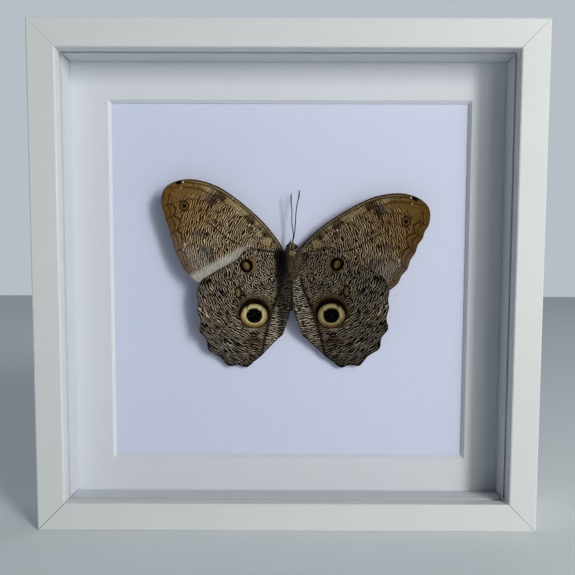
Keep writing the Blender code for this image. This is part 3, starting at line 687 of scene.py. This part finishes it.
# %% Paint the forewing
SMALL_EYE, TIP_SPOT = (54.6, -4), (62.3, 5)
FLECKS = (((60.7, 6.1), 0.34), ((60.3, 3.2), 0.22))
DARK_PATCHES = (((41.3, 9.3), (2.6, 2.4)), ((43.3, 4.4), (1.4, 3.4)), ((22.6, 6.4), (2.6, 2.4)),
                ((12.3, 3.6), (2.2, 1.9)), ((7, 0.8), (0.8, 2.4)), ((36, -3.6), (3, 1.3)),
                ((16.5, 5.2), (1.5, 1.2)), ((20.6, 1.6), (1.2, 2.2)), ((30, -21), (2.4, 1.8)))
PATCH_BROWN = (0.01, 0.005, 0.003)
BLUE_PATCHES = (((42, -13), (2.3, 1.4)), ((34.6, -18), (3.2, 2.1)),
                ((46, 5.2), (1.7, 3)))
PALE_PATCHES = (((9.6, 0.9), (2.5, 2.1)), ((18.2, 6.6), (2.2, 1.4)), ((14.8, 2.2), (1.9, 1.4)),
                ((28, 7.6), (3.6, 1.6)), ((34, 8.6), (4.2, 1.6)), ((50.5, 8.8), (4.6, 1.3)))


def forewing_finish():
    wing = WingFinish("forewing_scales", 0.67, 0.87)
    u, v, ripple, wander = wing.u, wing.v, wing.ripple, wing.wander
    outer = (u + v * 0.35 + wander * 14).fade(26, 50)
    dark = wing.mix(outer, (0.009, 0.005, 0.003), (0.03, 0.014, 0.004))
    pale = wing.mix(outer, (0.42, 0.33, 0.205), (0.34, 0.215, 0.09))
    tawny = wing.noise(0.12).fade(0.48, 0.62)
    pale = wing.mix(tawny * 0.5, pale, (0.27, 0.17, 0.07))
    wing.colour = wing.mix(ripple, dark, pale)
    violet = wing.mix(ripple * 0.85 + 0.1, (0.055, 0.041, 0.034), (0.3, 0.25, 0.215))
    wing.lay((v + wander * 6).fade(-17, -25) * 0.8, violet)
    wing.patches(PALE_PATCHES, ripple * 0.35 + 0.45, (0.32, 0.245, 0.12), 0.3, 1.6)
    wing.patches(DARK_PATCHES, 0.95 - ripple * 0.4, PATCH_BROWN, 0.3, 1.9)
    wing.patches(BLUE_PATCHES, 0.9 - ripple * 0.35, (0.03, 0.031, 0.034), 0.4, 1.9)
    # Painted shadow: the root of the left wing is laid nearly black.
    wing.lay(u.fade(5.2, 3) * wing.left_light_shade * 0.92, (0.005, 0.004, 0.004))
    paint_margin(wing)
    paint_costa(wing)
    wing.lay(wing.vein.fade(0.28, 0.06) * (outer * 0.2 + 0.55), (0.016, 0.009, 0.004))
    # Painted shade along the crease.
    wing.lay(wing.fold.fade(0.55, 0.15) * u.fade(44, 40) * 0.85, (0.01, 0.006, 0.003))
    paint_pale_band(wing)
    wing.dab(1, (0.018, 0.009, 0.003), SMALL_EYE, (2.6, 2.5), 0.12)
    wing.dab(1, (0.095, 0.05, 0.016), SMALL_EYE, (1.9, 1.8), 0.16)
    wing.dab(1, (0.005, 0.004, 0.003), SMALL_EYE, (1.1, 1.05), 0.2)
    wing.dab(1, (0.003, 0.002, 0.002), TIP_SPOT, (1.85, 0.9), 0.12, 0.1, -0.8)
    for fleck, radius in FLECKS:
        wing.dab(1, (0.75, 0.72, 0.62), fleck, (radius, radius), 0.4)
    return wing.finish(1.36)


def paint_margin(wing):
    """The orange-brown border with its two scalloped dark lines."""
    u, v, wander, mottle = wing.u, wing.v, wing.wander, wing.mottle
    outside = (u - v * 0.4).fade(44, 50)
    low = v.fade(-12, -26)
    margin = wing.margin * (low * 0.75 + 1)
    bulge = wing.vein.up_to(2.6) * 0.75
    border = (margin - bulge + wander).fade(6.4, 4.4) * outside
    tile = (margin - bulge * 0.6).fade(2.9, 4.4) * mottle.fade(0.3, 0.6)
    orange = wing.mix(tile, (0.078, 0.04, 0.009), (0.145, 0.088, 0.03))
    greyed = wing.mix(mottle, (0.09, 0.066, 0.045), (0.19, 0.145, 0.105))
    wing.lay(border * 0.85, wing.mix(low * 0.5, orange, greyed))
    ochre = wing.mix(mottle.fade(0.45, 0.62), (0.13, 0.07, 0.016), (0.075, 0.034, 0.008))
    wing.lay((u + wander * 9).fade(52, 60) * 0.7, ochre)
    inner = abs(margin - bulge - 4.5 + wander * 1.2).fade(0.68, 0.22) * v.fade(-3, -7)
    outer = abs(margin - bulge * 0.45 - 2.7 + wander * 0.9).fade(0.55, 0.15) * v.fade(1, -4)
    wing.lay(inner * outside * (0.95 - low * 0.1), (0.014, 0.007, 0.002))
    wing.lay(outer * outside * 0.8, (0.022, 0.011, 0.003))
    wing.lay(wing.vein.fade(0.45, 0.12) * border * 0.6, (0.026, 0.012, 0.003))
    wing.lay(wing.margin.fade(1, 0.2) * outside * 0.65, (0.03, 0.018, 0.008))


def paint_pale_band(wing):
    """The bare-looking band along the rear edge: plain grey with only a hint of ripples."""
    line = wing.v + wing.u * 1.62 - 24.0 + wing.wander * 6
    band = line.fade(2.6, -3) * (wing.u + wing.wander * 4).fade(13, 23)
    pale = wing.mix(wing.ripple * 0.7 + 0.3, (0.19, 0.18, 0.16), (0.4, 0.385, 0.33))
    wing.lay(band * 0.9, pale)


def paint_costa(wing):
    """The front edge: dark, a tan line, dark again, and then a mottled golden band."""
    ripple, margin = wing.ripple, wing.margin
    front = wing.v.fade(-1, 1.5) * wing.u.fade(60, 54)
    gold = abs(margin - 2.7).fade(1, 0.4) * wing.u.fade(12, 18)
    gold = gold * front * (wing.mottle + wing.wander * 0.8).fade(0.56, 0.44)
    wing.lay(gold * (0.45 + ripple * 0.3), (0.29, 0.21, 0.1))
    wing.patches(DARK_PATCHES[:3], 0.85 - ripple * 0.5, PATCH_BROWN, 0.35, 2.4)
    wing.lay(abs(margin - 1.75).fade(0.5, 0.15) * front * 0.75, (0.016, 0.01, 0.006))
    wing.lay(abs(margin - 1.1).fade(0.5, 0.2) * front * 0.75, (0.19, 0.135, 0.065))
    wing.lay(margin.fade(0.8, 0.45) * front, (0.01, 0.007, 0.005))


forewing = forewing_finish()
for side in SIGNS:
    dress_wing(f"forewing_{side}", forewing)

# %% [markdown]
# ## The body's skin
# Under its hair the body is a row of soft rings: head, thorax and abdomen, with two short
# feelers, the palps, in front of the face. Each form is a circle that is extruded and resized
# from one section to the next. All are then remeshed into one skin without seams. It lies half a
# millimetre inside the solid, because the hair needs that depth.

# %% Sections of the body
# Each section is z, x from the midline, half width, half depth, and height over the card
BODY = [(110, 0, 0.7, 0.7, 3.6), (111.5, 0, 1.5, 1.5, 3.7), (114.5, 0, 2.3, 2.2, 3.8),
        (119, 0, 2.9, 2.8, 4), (124, 0, 3, 2.9, 4.1), (127.6, 0, 2.7, 2.7, 4.3),
        (129.2, 0, 2.3, 2.5, 4.6), (130.6, 0, 3, 3.3, 5.2), (132.4, 0, 3.55, 4.1, 6),
        (135, 0, 3.8, 4.4, 6.3), (137.6, 0, 3.6, 4.3, 6.3), (139.4, 0, 2.8, 3.4, 6.3),
        (140.4, 0.2, 1.75, 2.1, 6.3), (141.5, 0.3, 2.05, 2.15, 6.4), (142.7, 0.3, 2.25, 2.3, 6.5),
        (143.9, 0.3, 1.85, 1.9, 6.5), (144.8, 0.3, 1, 1, 6.4)]
PALP = [(140.7, 0.75, 0.45, 0.45, 9.1), (141.9, 0.8, 0.55, 0.55, 9.6),
        (143.2, 0.75, 0.6, 0.6, 9.75), (144.6, 0.65, 0.45, 0.45, 9.5),
        (146.3, 0.55, 0.12, 0.12, 9)]
HEAD_X = 0.3
COAT = 0.5                  # depth of the hair on the body, mm
CARD_Y = -0.7               # where height 0, the front of the card, lies


def palp_sections(sign):
    return [(z, HEAD_X + sign * x, wide, deep, height) for z, x, wide, deep, height in PALP]


def sections_at(sections, z):
    """The sections' x, half width, half depth and height, between stations, for an array of z."""
    table = np.array(sections)
    return [np.interp(z, table[:, 0], table[:, k]) for k in (1, 2, 3, 4)]


def in_room(x, high, z):
    """World points from millimetres right of the body's midline, over the card and up."""
    return np.stack((MIDLINE + x, CARD_Y - high, z), axis=-1) * MM


def over_body(sections, turn, z, lift):
    """World points at an angle round a body, lift mm above its skin."""
    x, wide, deep, height = sections_at(sections, z)
    inset = np.minimum(COAT, wide * 0.3)
    return in_room(x + (wide - inset + lift) * np.cos(turn),
                   height + (deep - inset + lift) * np.sin(turn), z + 0 * turn)


print("sections:", len(BODY), "for the body and", len(PALP), "for each palp")


# %% Extrude the skin
def extrude_form(name, sections, sides=28):
    """A closed form through its sections: one circle, extruded, moved and resized."""
    inset = [min(COAT, wide * 0.3) for z, x, wide, deep, height in sections]
    rings = [(Vector((MIDLINE + x, CARD_Y - height, z)) * MM, (wide - i) * MM, (deep - i) * MM)
             for (z, x, wide, deep, height), i in zip(sections, inset)]
    bpy.ops.object.select_all(action="DESELECT")
    bpy.ops.mesh.primitive_circle_add(vertices=sides, radius=1, fill_type="NGON",
                                      location=rings[0][0])
    form = bpy.context.object
    form.name = name
    bpy.ops.object.mode_set(mode="EDIT")
    bpy.ops.mesh.select_all(action="SELECT")
    bpy.ops.transform.resize(value=(rings[0][1], rings[0][2], 1))
    for (here, wide, deep), (there, wider, deeper) in zip(rings, rings[1:]):
        bpy.ops.mesh.extrude_region_move(TRANSFORM_OT_translate={"value": there - here})
        bpy.ops.transform.resize(value=(wider / wide, deeper / deep, 1))
    bpy.ops.mesh.select_all(action="SELECT")
    bpy.ops.mesh.normals_make_consistent(inside=False)
    bpy.ops.object.mode_set(mode="OBJECT")
    bpy.ops.object.transform_apply(location=True, rotation=True, scale=True)
    return form


def apply_modifier(piece, kind, **settings):
    activate(piece)
    made = piece.modifiers.new(kind.lower(), kind)
    for name, value in settings.items():
        setattr(made, name, value)
    bpy.ops.object.modifier_apply(modifier=made.name)


def make_skin():
    forms = [extrude_form("body_skin", BODY)]
    for side, sign in SIGNS.items():
        forms.append(extrude_form(f"skin_palp_{side}", palp_sections(sign), 12))
    for form in forms:
        apply_modifier(form, "SUBSURF", levels=1, render_levels=1)
    activate(forms[0])
    for form in forms[1:]:
        form.select_set(True)
    bpy.ops.object.join()
    skin = bpy.context.object
    apply_modifier(skin, "REMESH", mode="VOXEL", voxel_size=0.16 * MM, use_smooth_shade=True)
    apply_modifier(skin, "SMOOTH", factor=0.5, iterations=4)
    return skin


skin = make_skin()
print("skin faces:", len(skin.data.polygons))

# %% [markdown]
# ## Hair in tufts
# Single hairs would be far too many, so they are gathered in tufts, each a thin blade that tapers
# to a point. One tuft is modelled from a triangle, and numbers lay its copies over the
# skin, bent with the body. Most hair lies backwards, from the head to the tail. The long hair
# from the flanks draws together over the folded legs, and on the left cheek it stands up over the
# eye.

# %% One tuft
def model_tuft():
    """A blade along Z from 0 to 1, about 1 wide on X."""
    bpy.ops.object.select_all(action="DESELECT")
    bpy.ops.mesh.primitive_circle_add(vertices=3, radius=0.5, fill_type="NGON", location=(0, 0, 0))
    tuft = bpy.context.object
    bpy.ops.object.mode_set(mode="EDIT")
    bpy.ops.mesh.select_all(action="SELECT")
    for rise, width in ((0.3, 1.2), (0.35, 0.75), (0.35, 0.1)):
        bpy.ops.mesh.extrude_region_move(TRANSFORM_OT_translate={"value": (0, 0, rise)})
        bpy.ops.transform.resize(value=(width, width, 1))
    bpy.ops.mesh.merge(type="CENTER")
    bpy.ops.mesh.select_all(action="SELECT")
    bpy.ops.mesh.normals_make_consistent(inside=False)
    bpy.ops.mesh.quads_convert_to_tris()
    bpy.ops.object.mode_set(mode="OBJECT")
    shape = vertex_array(tuft)
    faces = np.array([list(face.vertices) for face in tuft.data.polygons])
    bpy.data.objects.remove(tuft)
    return shape, faces


TUFT, TUFT_FACES = model_tuft()
SIDE, THICK, ALONG = TUFT.T
TUFT_UV = 0.0026            # a tuft's size in the unwrap, whose side is 1
UNWRAP_LOW, UNWRAP_SPAN = 104, 44       # the heights that the unwrap covers, mm
print("one tuft:", len(TUFT), "vertices,", len(TUFT_FACES), "triangles")


# %% Lay tufts over the body
GOLDEN = 0.618034           # the golden ratio keeps a spiral's points apart


def scatter(count, low, high):
    """Even random roots, as arrays of z and angle: a spiral with a little jitter."""
    step = np.arange(count) + 0.5
    share = (step / count + draw(-0.01, 0.01, count)) % 1
    turn = math.tau * ((step * GOLDEN) % 1)
    return low + (high - low) * share, turn + draw(-0.06, 0.06, count)


def lay_tufts(sections, z, turn, length, width, stand, bend, thick=0.16):
    """Vertices of one tuft for each root; the arrays give each tuft's own measures."""
    z, turn, length, width, stand, bend = (
        np.broadcast_to(np.asarray(a, float), z.shape)[:, None]
        for a in (z, turn, length, width, stand, bend))
    x, wide, deep, height = sections_at(sections, z[:, 0])
    radius = np.maximum((wide + deep) / 2 - COAT * 0.5, 0.25)[:, None]
    lift = -0.12 + stand * (1 - (1 - ALONG) ** 2) + THICK * thick * (1 - 0.5 * ALONG)
    turn = turn + bend * ALONG + SIDE * width / radius
    return over_body(sections, turn, z - length * ALONG, lift)


def lay_tail(count):
    """The hair below the thorax, which lies over the wings' inner margins and draws to a point."""
    x = draw(-2.3, 2.3, count)
    z = draw(129.6, 132.8, count) - np.abs(x) * 0.25
    tip_x = x * 0.3 + 0.1 + draw(-0.25, 0.25, count)
    tip_z = np.minimum(127.7 + np.abs(x) * 0.55 + draw(-0.3, 1.2, count), z - 1.2)
    across = x[:, None] + (tip_x - x)[:, None] * ALONG + SIDE * 0.42
    down = z[:, None] + (tip_z - z)[:, None] * ALONG
    middle, wide, deep, height = sections_at(BODY, down)
    front = height + deep * np.sqrt(np.clip(1 - (across / wide) ** 2, 0, 1)) - 0.3
    floor = np.where(down < 130.6, 9.3 - np.abs(across) * 0.12, 0)
    arch = 0.5 * np.sin(ALONG * 2.6) * draw(0.5, 1, (count, 1))
    high = np.maximum(front, floor) + 0.1 + arch
    return in_room(across, high + THICK * 0.2, down), z, np.arctan2(front[:, 0] - height[:, 0], x)


def coat_piece(name, places, z, turn, pale=0):
    """One mesh of all the tufts, with its attributes and its unwrap. The last ones may be pale."""
    count = len(z)
    rows = (TUFT_FACES[None] + np.arange(count)[:, None, None] * len(TUFT)).reshape(-1, 3)
    mesh = bpy.data.meshes.new(name)
    mesh.from_pydata(places.reshape(-1, 3).tolist(), [], rows.tolist())
    piece = bpy.data.objects.new(name, mesh)
    bpy.context.scene.collection.objects.link(piece)
    luck = draw(0, 1, (2, count))
    luck[0, count - pale:] = 2.0
    side = np.cos(turn)
    add_attribute(piece, "coat", *[np.repeat(a, len(TUFT)) for a in (side, z, luck[0])])
    add_attribute(piece, "strand", np.tile(ALONG, count), np.repeat(luck[1], len(TUFT)))
    corners = np.empty(len(mesh.loops), int)
    mesh.loops.foreach_get("vertex_index", corners)
    u = ((turn / math.tau) % 1)[:, None] * 0.98 + 0.01 + SIDE * TUFT_UV
    v = ((z - UNWRAP_LOW) / UNWRAP_SPAN)[:, None] + (ALONG - 0.5) * TUFT_UV
    unwrap = np.stack((u, v), axis=-1).reshape(-1, 2)[corners]
    layer = mesh.uv_layers.new(name="OFBake")
    layer.data.foreach_set("uv", unwrap.astype(np.float32).ravel())
    activate(piece)
    bpy.ops.object.shade_smooth()
    print(name, "tufts:", count, "triangles:", len(rows))
    return piece


def grow_thorax():
    z, turn = scatter(2700, 129.9, 140.9)
    size = draw(0.75, 1.25, len(z))
    swirl = np.cos(turn) * -0.1 + draw(-0.12, 0.12, len(z))
    short = np.clip((z - 129) / 3, 0.45, 1)
    places = lay_tufts(BODY, z, turn, 2.3 * size * short, 0.42, 0.75 * size, swirl)
    tail, tail_z, tail_turn = lay_tail(190)
    return coat_piece("thorax_hair", np.concatenate((places, tail)),
                      np.concatenate((z, tail_z)), np.concatenate((turn, tail_turn)))


def lay_straight(root, tip, width, sag, thick):
    """Tufts from root to tip, arrays of (x, height, z) in mm, bent outwards in the middle."""
    way = tip - root
    across = np.cross(way, (0, 1, 0))
    across /= np.linalg.norm(across, axis=1, keepdims=True)
    place = (root[:, None] + way[:, None] * ALONG[:, None]
             + across[:, None] * (SIDE * width)[:, None])
    place[:, :, 1] += np.sin(ALONG * math.pi) * sag + THICK * thick
    return in_room(*np.moveaxis(place, -1, 0))


def hair_height(x, z):
    """Height of the long hair: over the folded legs, and down to the wings' roots."""
    ridge = np.interp(z, (124, 128, 131, 133.5, 137.5, 140, 141.5),
                      (8.8, 9.3, 11.2, 12, 11.9, 11.1, 9.8))
    roots = np.interp(z, (124, 130, 132, 136, 140), (8.7, 8.3, 7.5, 6.3, 5.7))
    return np.maximum(ridge - 0.3 * x * x, roots)


def lay_mane(x, z, aim, length, lift, width=0.4):
    """Tufts over the long hair's surface, each aimed at an angle from straight down."""
    x, z, aim, length, lift = (np.asarray(a)[:, None] for a in (x, z, aim, length, lift))
    across = x + np.sin(aim) * length * ALONG + np.cos(aim) * SIDE * width
    down = z - np.cos(aim) * length * ALONG + np.sin(aim) * SIDE * width
    high = hair_height(across, down) + lift * np.sin(ALONG * 2.4) - 0.7 * (1 - ALONG) ** 2
    return in_room(across, high + THICK * 0.2, down)


def grow_mane():
    """Long hair from both flanks and the wings' roots, which draws together over the legs."""
    count, pale = 2600, 9
    z = draw(126.6, 140.9, count)
    wide = np.interp(z, (126.6, 130.5, 134, 138, 139.6, 140.9), (2.4, 3.9, 5, 5.2, 4.7, 3.2))
    x = wide * (draw(-1, 1, count) + 0.08)
    lift = draw(-0.25, 0.4, count)
    z[-pale:] = np.linspace(140.9, 139.2, pale)
    x[-pale:] = 1.15 + (z[-pale:] - 138.5) * 0.35 + draw(-0.2, 0.2, pale)
    lift[-pale:] = 0.5
    aim = np.arctan2(0.2 - x, z - 122) + rng.normal(0, 0.14, count)
    length = draw(1.7, 3.6, count) * np.clip((z - 124.4) / 5, 0.4, 1)
    length[-pale:] = 1.5
    turn = np.arctan2(hair_height(x, z) - 6, x)
    return coat_piece("long_hair", lay_mane(x, z, aim, length, lift), z, turn, pale)


def grow_cheeks():
    """Upright hair on the left of the face, which covers most of that eye."""
    count = 260
    z = draw(139.2, 143.9, count)
    outline = -4.0 + (z - 139.8) * 0.66
    x = outline + 0.15 + draw(0, 1, count) ** 1.2 * (-0.6 - outline).clip(0.3, 3)
    reach = draw(1.1, 2.3, count)
    rise = np.minimum(reach * 0.85, 146.0 - z)
    root = np.column_stack((x, 8.5 + (x - outline) * 0.3, z))
    tip = root + np.column_stack((reach * draw(0.25, 0.58, count), 0 * z + 0.3, rise))
    tip[:, 0] = np.minimum(tip[:, 0], -0.15)
    return coat_piece("cheek_hair", lay_straight(root, tip, 0.34, 0.25, 0.1), z,
                      np.arccos(np.clip(x / 4.5, -1, 1)))


def grow_fringe():
    """Short hair along the hindwings' inner edges, so that they meet softly over the abdomen."""
    roots, tips, turns = [], [], []
    for side, sign in SIGNS.items():
        points = vertex_array(hindwings[side]) / MM
        for z in np.arange(106, 128, 0.14):
            near = points[abs(points[:, 2] - z) < 0.35]
            edge = near[np.argmin(near[:, 0] * sign)]
            roots.append(np.array((edge[0] - MIDLINE + sign * 0.35, CARD_Y - edge[1] + 0.15, z)))
            tips.append(roots[-1] + (-sign * draw(0.2, 0.6), 0.05, -draw(0.7, 1.7)))
            turns.append(math.pi / 2 - sign * draw(0.4, 0.7))
    roots, tips = np.array(roots), np.array(tips)
    places = lay_straight(roots, tips, 0.16, 0.08, 0.05)
    return coat_piece("wing_fringe", places, roots[:, 2], np.array(turns))


def grow_head():
    z, turn = scatter(900, 140.6, 144.75)
    beside_eye = (np.abs(np.cos(turn)) > 0.45) & (z > 141.2) & (z < 144.2) & (np.sin(turn) > -0.75)
    z, turn = z[~beside_eye], turn[~beside_eye]
    size = draw(0.7, 1.2, len(z))
    swirl = draw(-0.15, 0.15, len(z))
    places = lay_tufts(BODY, z, turn, size, 0.26, 0.38 * size, swirl, 0.1)
    return coat_piece("head_hair", places, z, turn)


def grow_abdomen():
    z, turn = scatter(1100, 110.3, 129.6)
    size = draw(0.75, 1.2, len(z))
    reach = np.minimum(1.5 * size, z - 109.7)
    swirl = draw(-0.08, 0.08, len(z))
    places = lay_tufts(BODY, z, turn, reach, 0.45, 0.36 * size, swirl)
    return coat_piece("abdomen_hair", places, z, turn)


def grow_palps():
    grown = []
    for sign in SIGNS.values():
        z, turn = scatter(230, 140.8, 145.6)
        size = draw(0.8, 1.2, len(z))
        reach = -np.minimum(1.1 * size, 146.5 - z)
        places = lay_tufts(palp_sections(sign), z, turn, reach, 0.22, 0.16 * size,
                           draw(-0.2, 0.2, len(z)), 0.09)
        grown.append((places, z, turn))
    x, z = draw(-1, 1.3, 130), draw(138.9, 141.2, 130)
    beard = lay_mane(x, z, rng.normal(0, 0.12, 130), draw(1, 1.9, 130), 0 * x + 0.6, 0.3)
    grown.append((beard, z, np.arccos(x / 3)))
    places, z, turn = (np.concatenate(part) for part in zip(*grown))
    return coat_piece("palp_hair", places, z, turn)


coat = {"thorax": grow_thorax(), "mane": grow_mane(), "head": grow_head(), "cheeks": grow_cheeks(),
        "abdomen": grow_abdomen(), "palps": grow_palps(), "fringe": grow_fringe()}

# %% [markdown]
# ## Hair colour
# Skin and hair take their colour from one rule, so no skin shines through: a painted shadow,
# nearly black, on the far left, golden streaks down the middle, a streaked brown right half, a
# purple-brown face, olive-gold palps, and one pale tuft below the right eye. A tuft is painted
# darkest at its root, a painted shade deep in the coat, and each has its own luck.

# %% Colour the skin and the hair
def hair_finish(name, palp=False, strands=True):
    finish = Finish(name, Roughness=0.62, Specular_IOR_Level=0.22)
    side, z, luck = finish.parts(finish.attribute("coat"))
    streak = finish.noise(1, 3, 0.6, at=finish.combine(side * 8.5, z * 0.16, luck * 0.45))
    gold = streak.fade(0.38, 0.6) * abs(side + 0.1).fade(0.38, 0.12)
    finish.colour = finish.mix(streak.fade(0.44, 0.62), (0.008, 0.006, 0.004), (0.12, 0.083, 0.05))
    finish.lay(gold, (0.17, 0.105, 0.028))
    tone = (luck * 0.35 + streak * 1.7).fade(0.84, 1.25)
    brown = finish.mix(tone, (0.009, 0.006, 0.004), (0.2, 0.145, 0.09))
    finish.lay(side.fade(0.02, 0.25) * 0.9, brown)
    # Painted shadow: the far left of the body, away from the lamp, is laid nearly black.
    finish.lay(side.fade(-0.72, -0.95) * 0.8, (0.008, 0.007, 0.006))
    face = finish.mix(luck, (0.018, 0.012, 0.012), (0.085, 0.062, 0.06))
    finish.lay(z.fade(140.4, 141.4) * 0.85, face)
    finish.lay(z.fade(127, 126) * 0.6, (0.045, 0.032, 0.02))
    finish.lay(luck.fade(1.2, 1.8), (0.46, 0.38, 0.33))
    if palp:
        finish.colour = finish.mix(luck.fade(0.1, 0.7) * 0.8 + 0.1, (0.06, 0.044, 0.018),
                                   (0.38, 0.33, 0.15))
    if strands:
        # Painted shade: each tuft is darkest at its root, deep in the coat; some tufts are darker
        # at random.
        along, shade = finish.parts(finish.attribute("strand"))[:2]
        depth = (1.0 - along.fade(0.05, 0.7)) * 0.55 + (1.0 - shade) * 0.3
        finish.lay(depth, (0.01, 0.007, 0.005))
    finish.set("Base Color", finish.colour)
    finish.bump(finish.noise(9000, at=finish.stretched(1, 1, 0.18)), 0.00004, 0.7)
    return finish


SKIN_LUCK = 0.3             # a tuft's luck lies between 0 and 1


def dress_skin():
    points = vertex_array(skin) / MM
    x, wide, deep, height = sections_at(BODY, points[:, 2])
    turn = np.arctan2((CARD_Y - points[:, 1] - height) / deep, (points[:, 0] - MIDLINE - x) / wide)
    add_attribute(skin, "coat", np.cos(turn), points[:, 2], np.full(len(points), SKIN_LUCK))
    cover(skin, hair_finish("body_skin", strands=False))
    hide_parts("head", "thorax", "abdomen", "palp_left", "palp_right")
    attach(skin, "root")


dress_skin()
body_hair, palp_hair = hair_finish("body_hair"), hair_finish("palp_hair", palp=True)
for part, piece in coat.items():
    cover(piece, palp_hair if part == "palps" else body_hair)
    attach(piece, "root")
print("hair in", len(coat), "pieces")

# %% [markdown]
# ## Eyes, antennae and legs
# The eyes are smooth black balls, with a very fine grid of facets that breaks the highlight.
# Antennae and legs are horn: dark, with narrow paler rings where the segments meet.

# %% Eyes, antennae and legs
def eye_finish():
    finish = Finish("black_eye", Specular_IOR_Level=0.12, Coat_Weight=0.08, Coat_Roughness=0.08)
    cloud = finish.noise(700)
    finish.between(cloud, (0.003, 0.003, 0.005), (0.012, 0.011, 0.014))
    finish.set("Roughness", wear(finish, 0.16, 0.3, 900))
    facets = finish.node("TexVoronoi", {}, {"Vector": finish.place(), "Scale": 9000.0})
    finish.bump(facets, 0.00001, 0.5)
    return finish


def horn_finish(name, dark, pale, pitch):
    """Horn with rings round it, pitch millimetres apart."""
    finish = Finish(name, Roughness=0.6, Specular_IOR_Level=0.12)
    wave = (finish.parts(finish.place())[2] * (math.tau / (pitch * MM))).sine()
    grain = finish.noise(1500)
    ring = (wave + grain * 0.6).fade(0.75, 1.25)
    finish.between(ring, dark, pale)
    finish.bump(ring * 0.6 + grain * 0.4, 0.00004, 0.6)
    return finish


def add_eye(name, finish):
    """A smooth ball with the place and size of the solid eye."""
    corners = np.array([nodes[name].matrix_world @ Vector(c) for c in nodes[name].bound_box])
    low, high = corners.min(axis=0), corners.max(axis=0)
    bpy.ops.mesh.primitive_uv_sphere_add(segments=48, ring_count=24, radius=1,
                                         location=(low + high) / 2, scale=(high - low) / 2)
    eye = bpy.context.object
    eye.name = f"{name}_ball"
    bpy.ops.object.transform_apply(location=True, rotation=True, scale=True)
    bpy.ops.object.shade_smooth()
    cover(eye, finish)
    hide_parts(name)
    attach(eye, "root")


eye_black = eye_finish()
for side in SIGNS:
    add_eye(f"eye_{side}", eye_black)
paint_nodes(horn_finish("antenna_horn", (0.005, 0.004, 0.004), (0.02, 0.016, 0.014), 0.6),
            "antenna_left", "antenna_right")
paint_nodes(horn_finish("leg_horn", (0.03, 0.021, 0.014), (0.05, 0.037, 0.024), 0.8),
            *[f"{leg}_{side}" for leg in ("foreleg", "middle_leg", "hind_leg")
              for side in SIGNS])
print("finished eyes, antennae and legs")
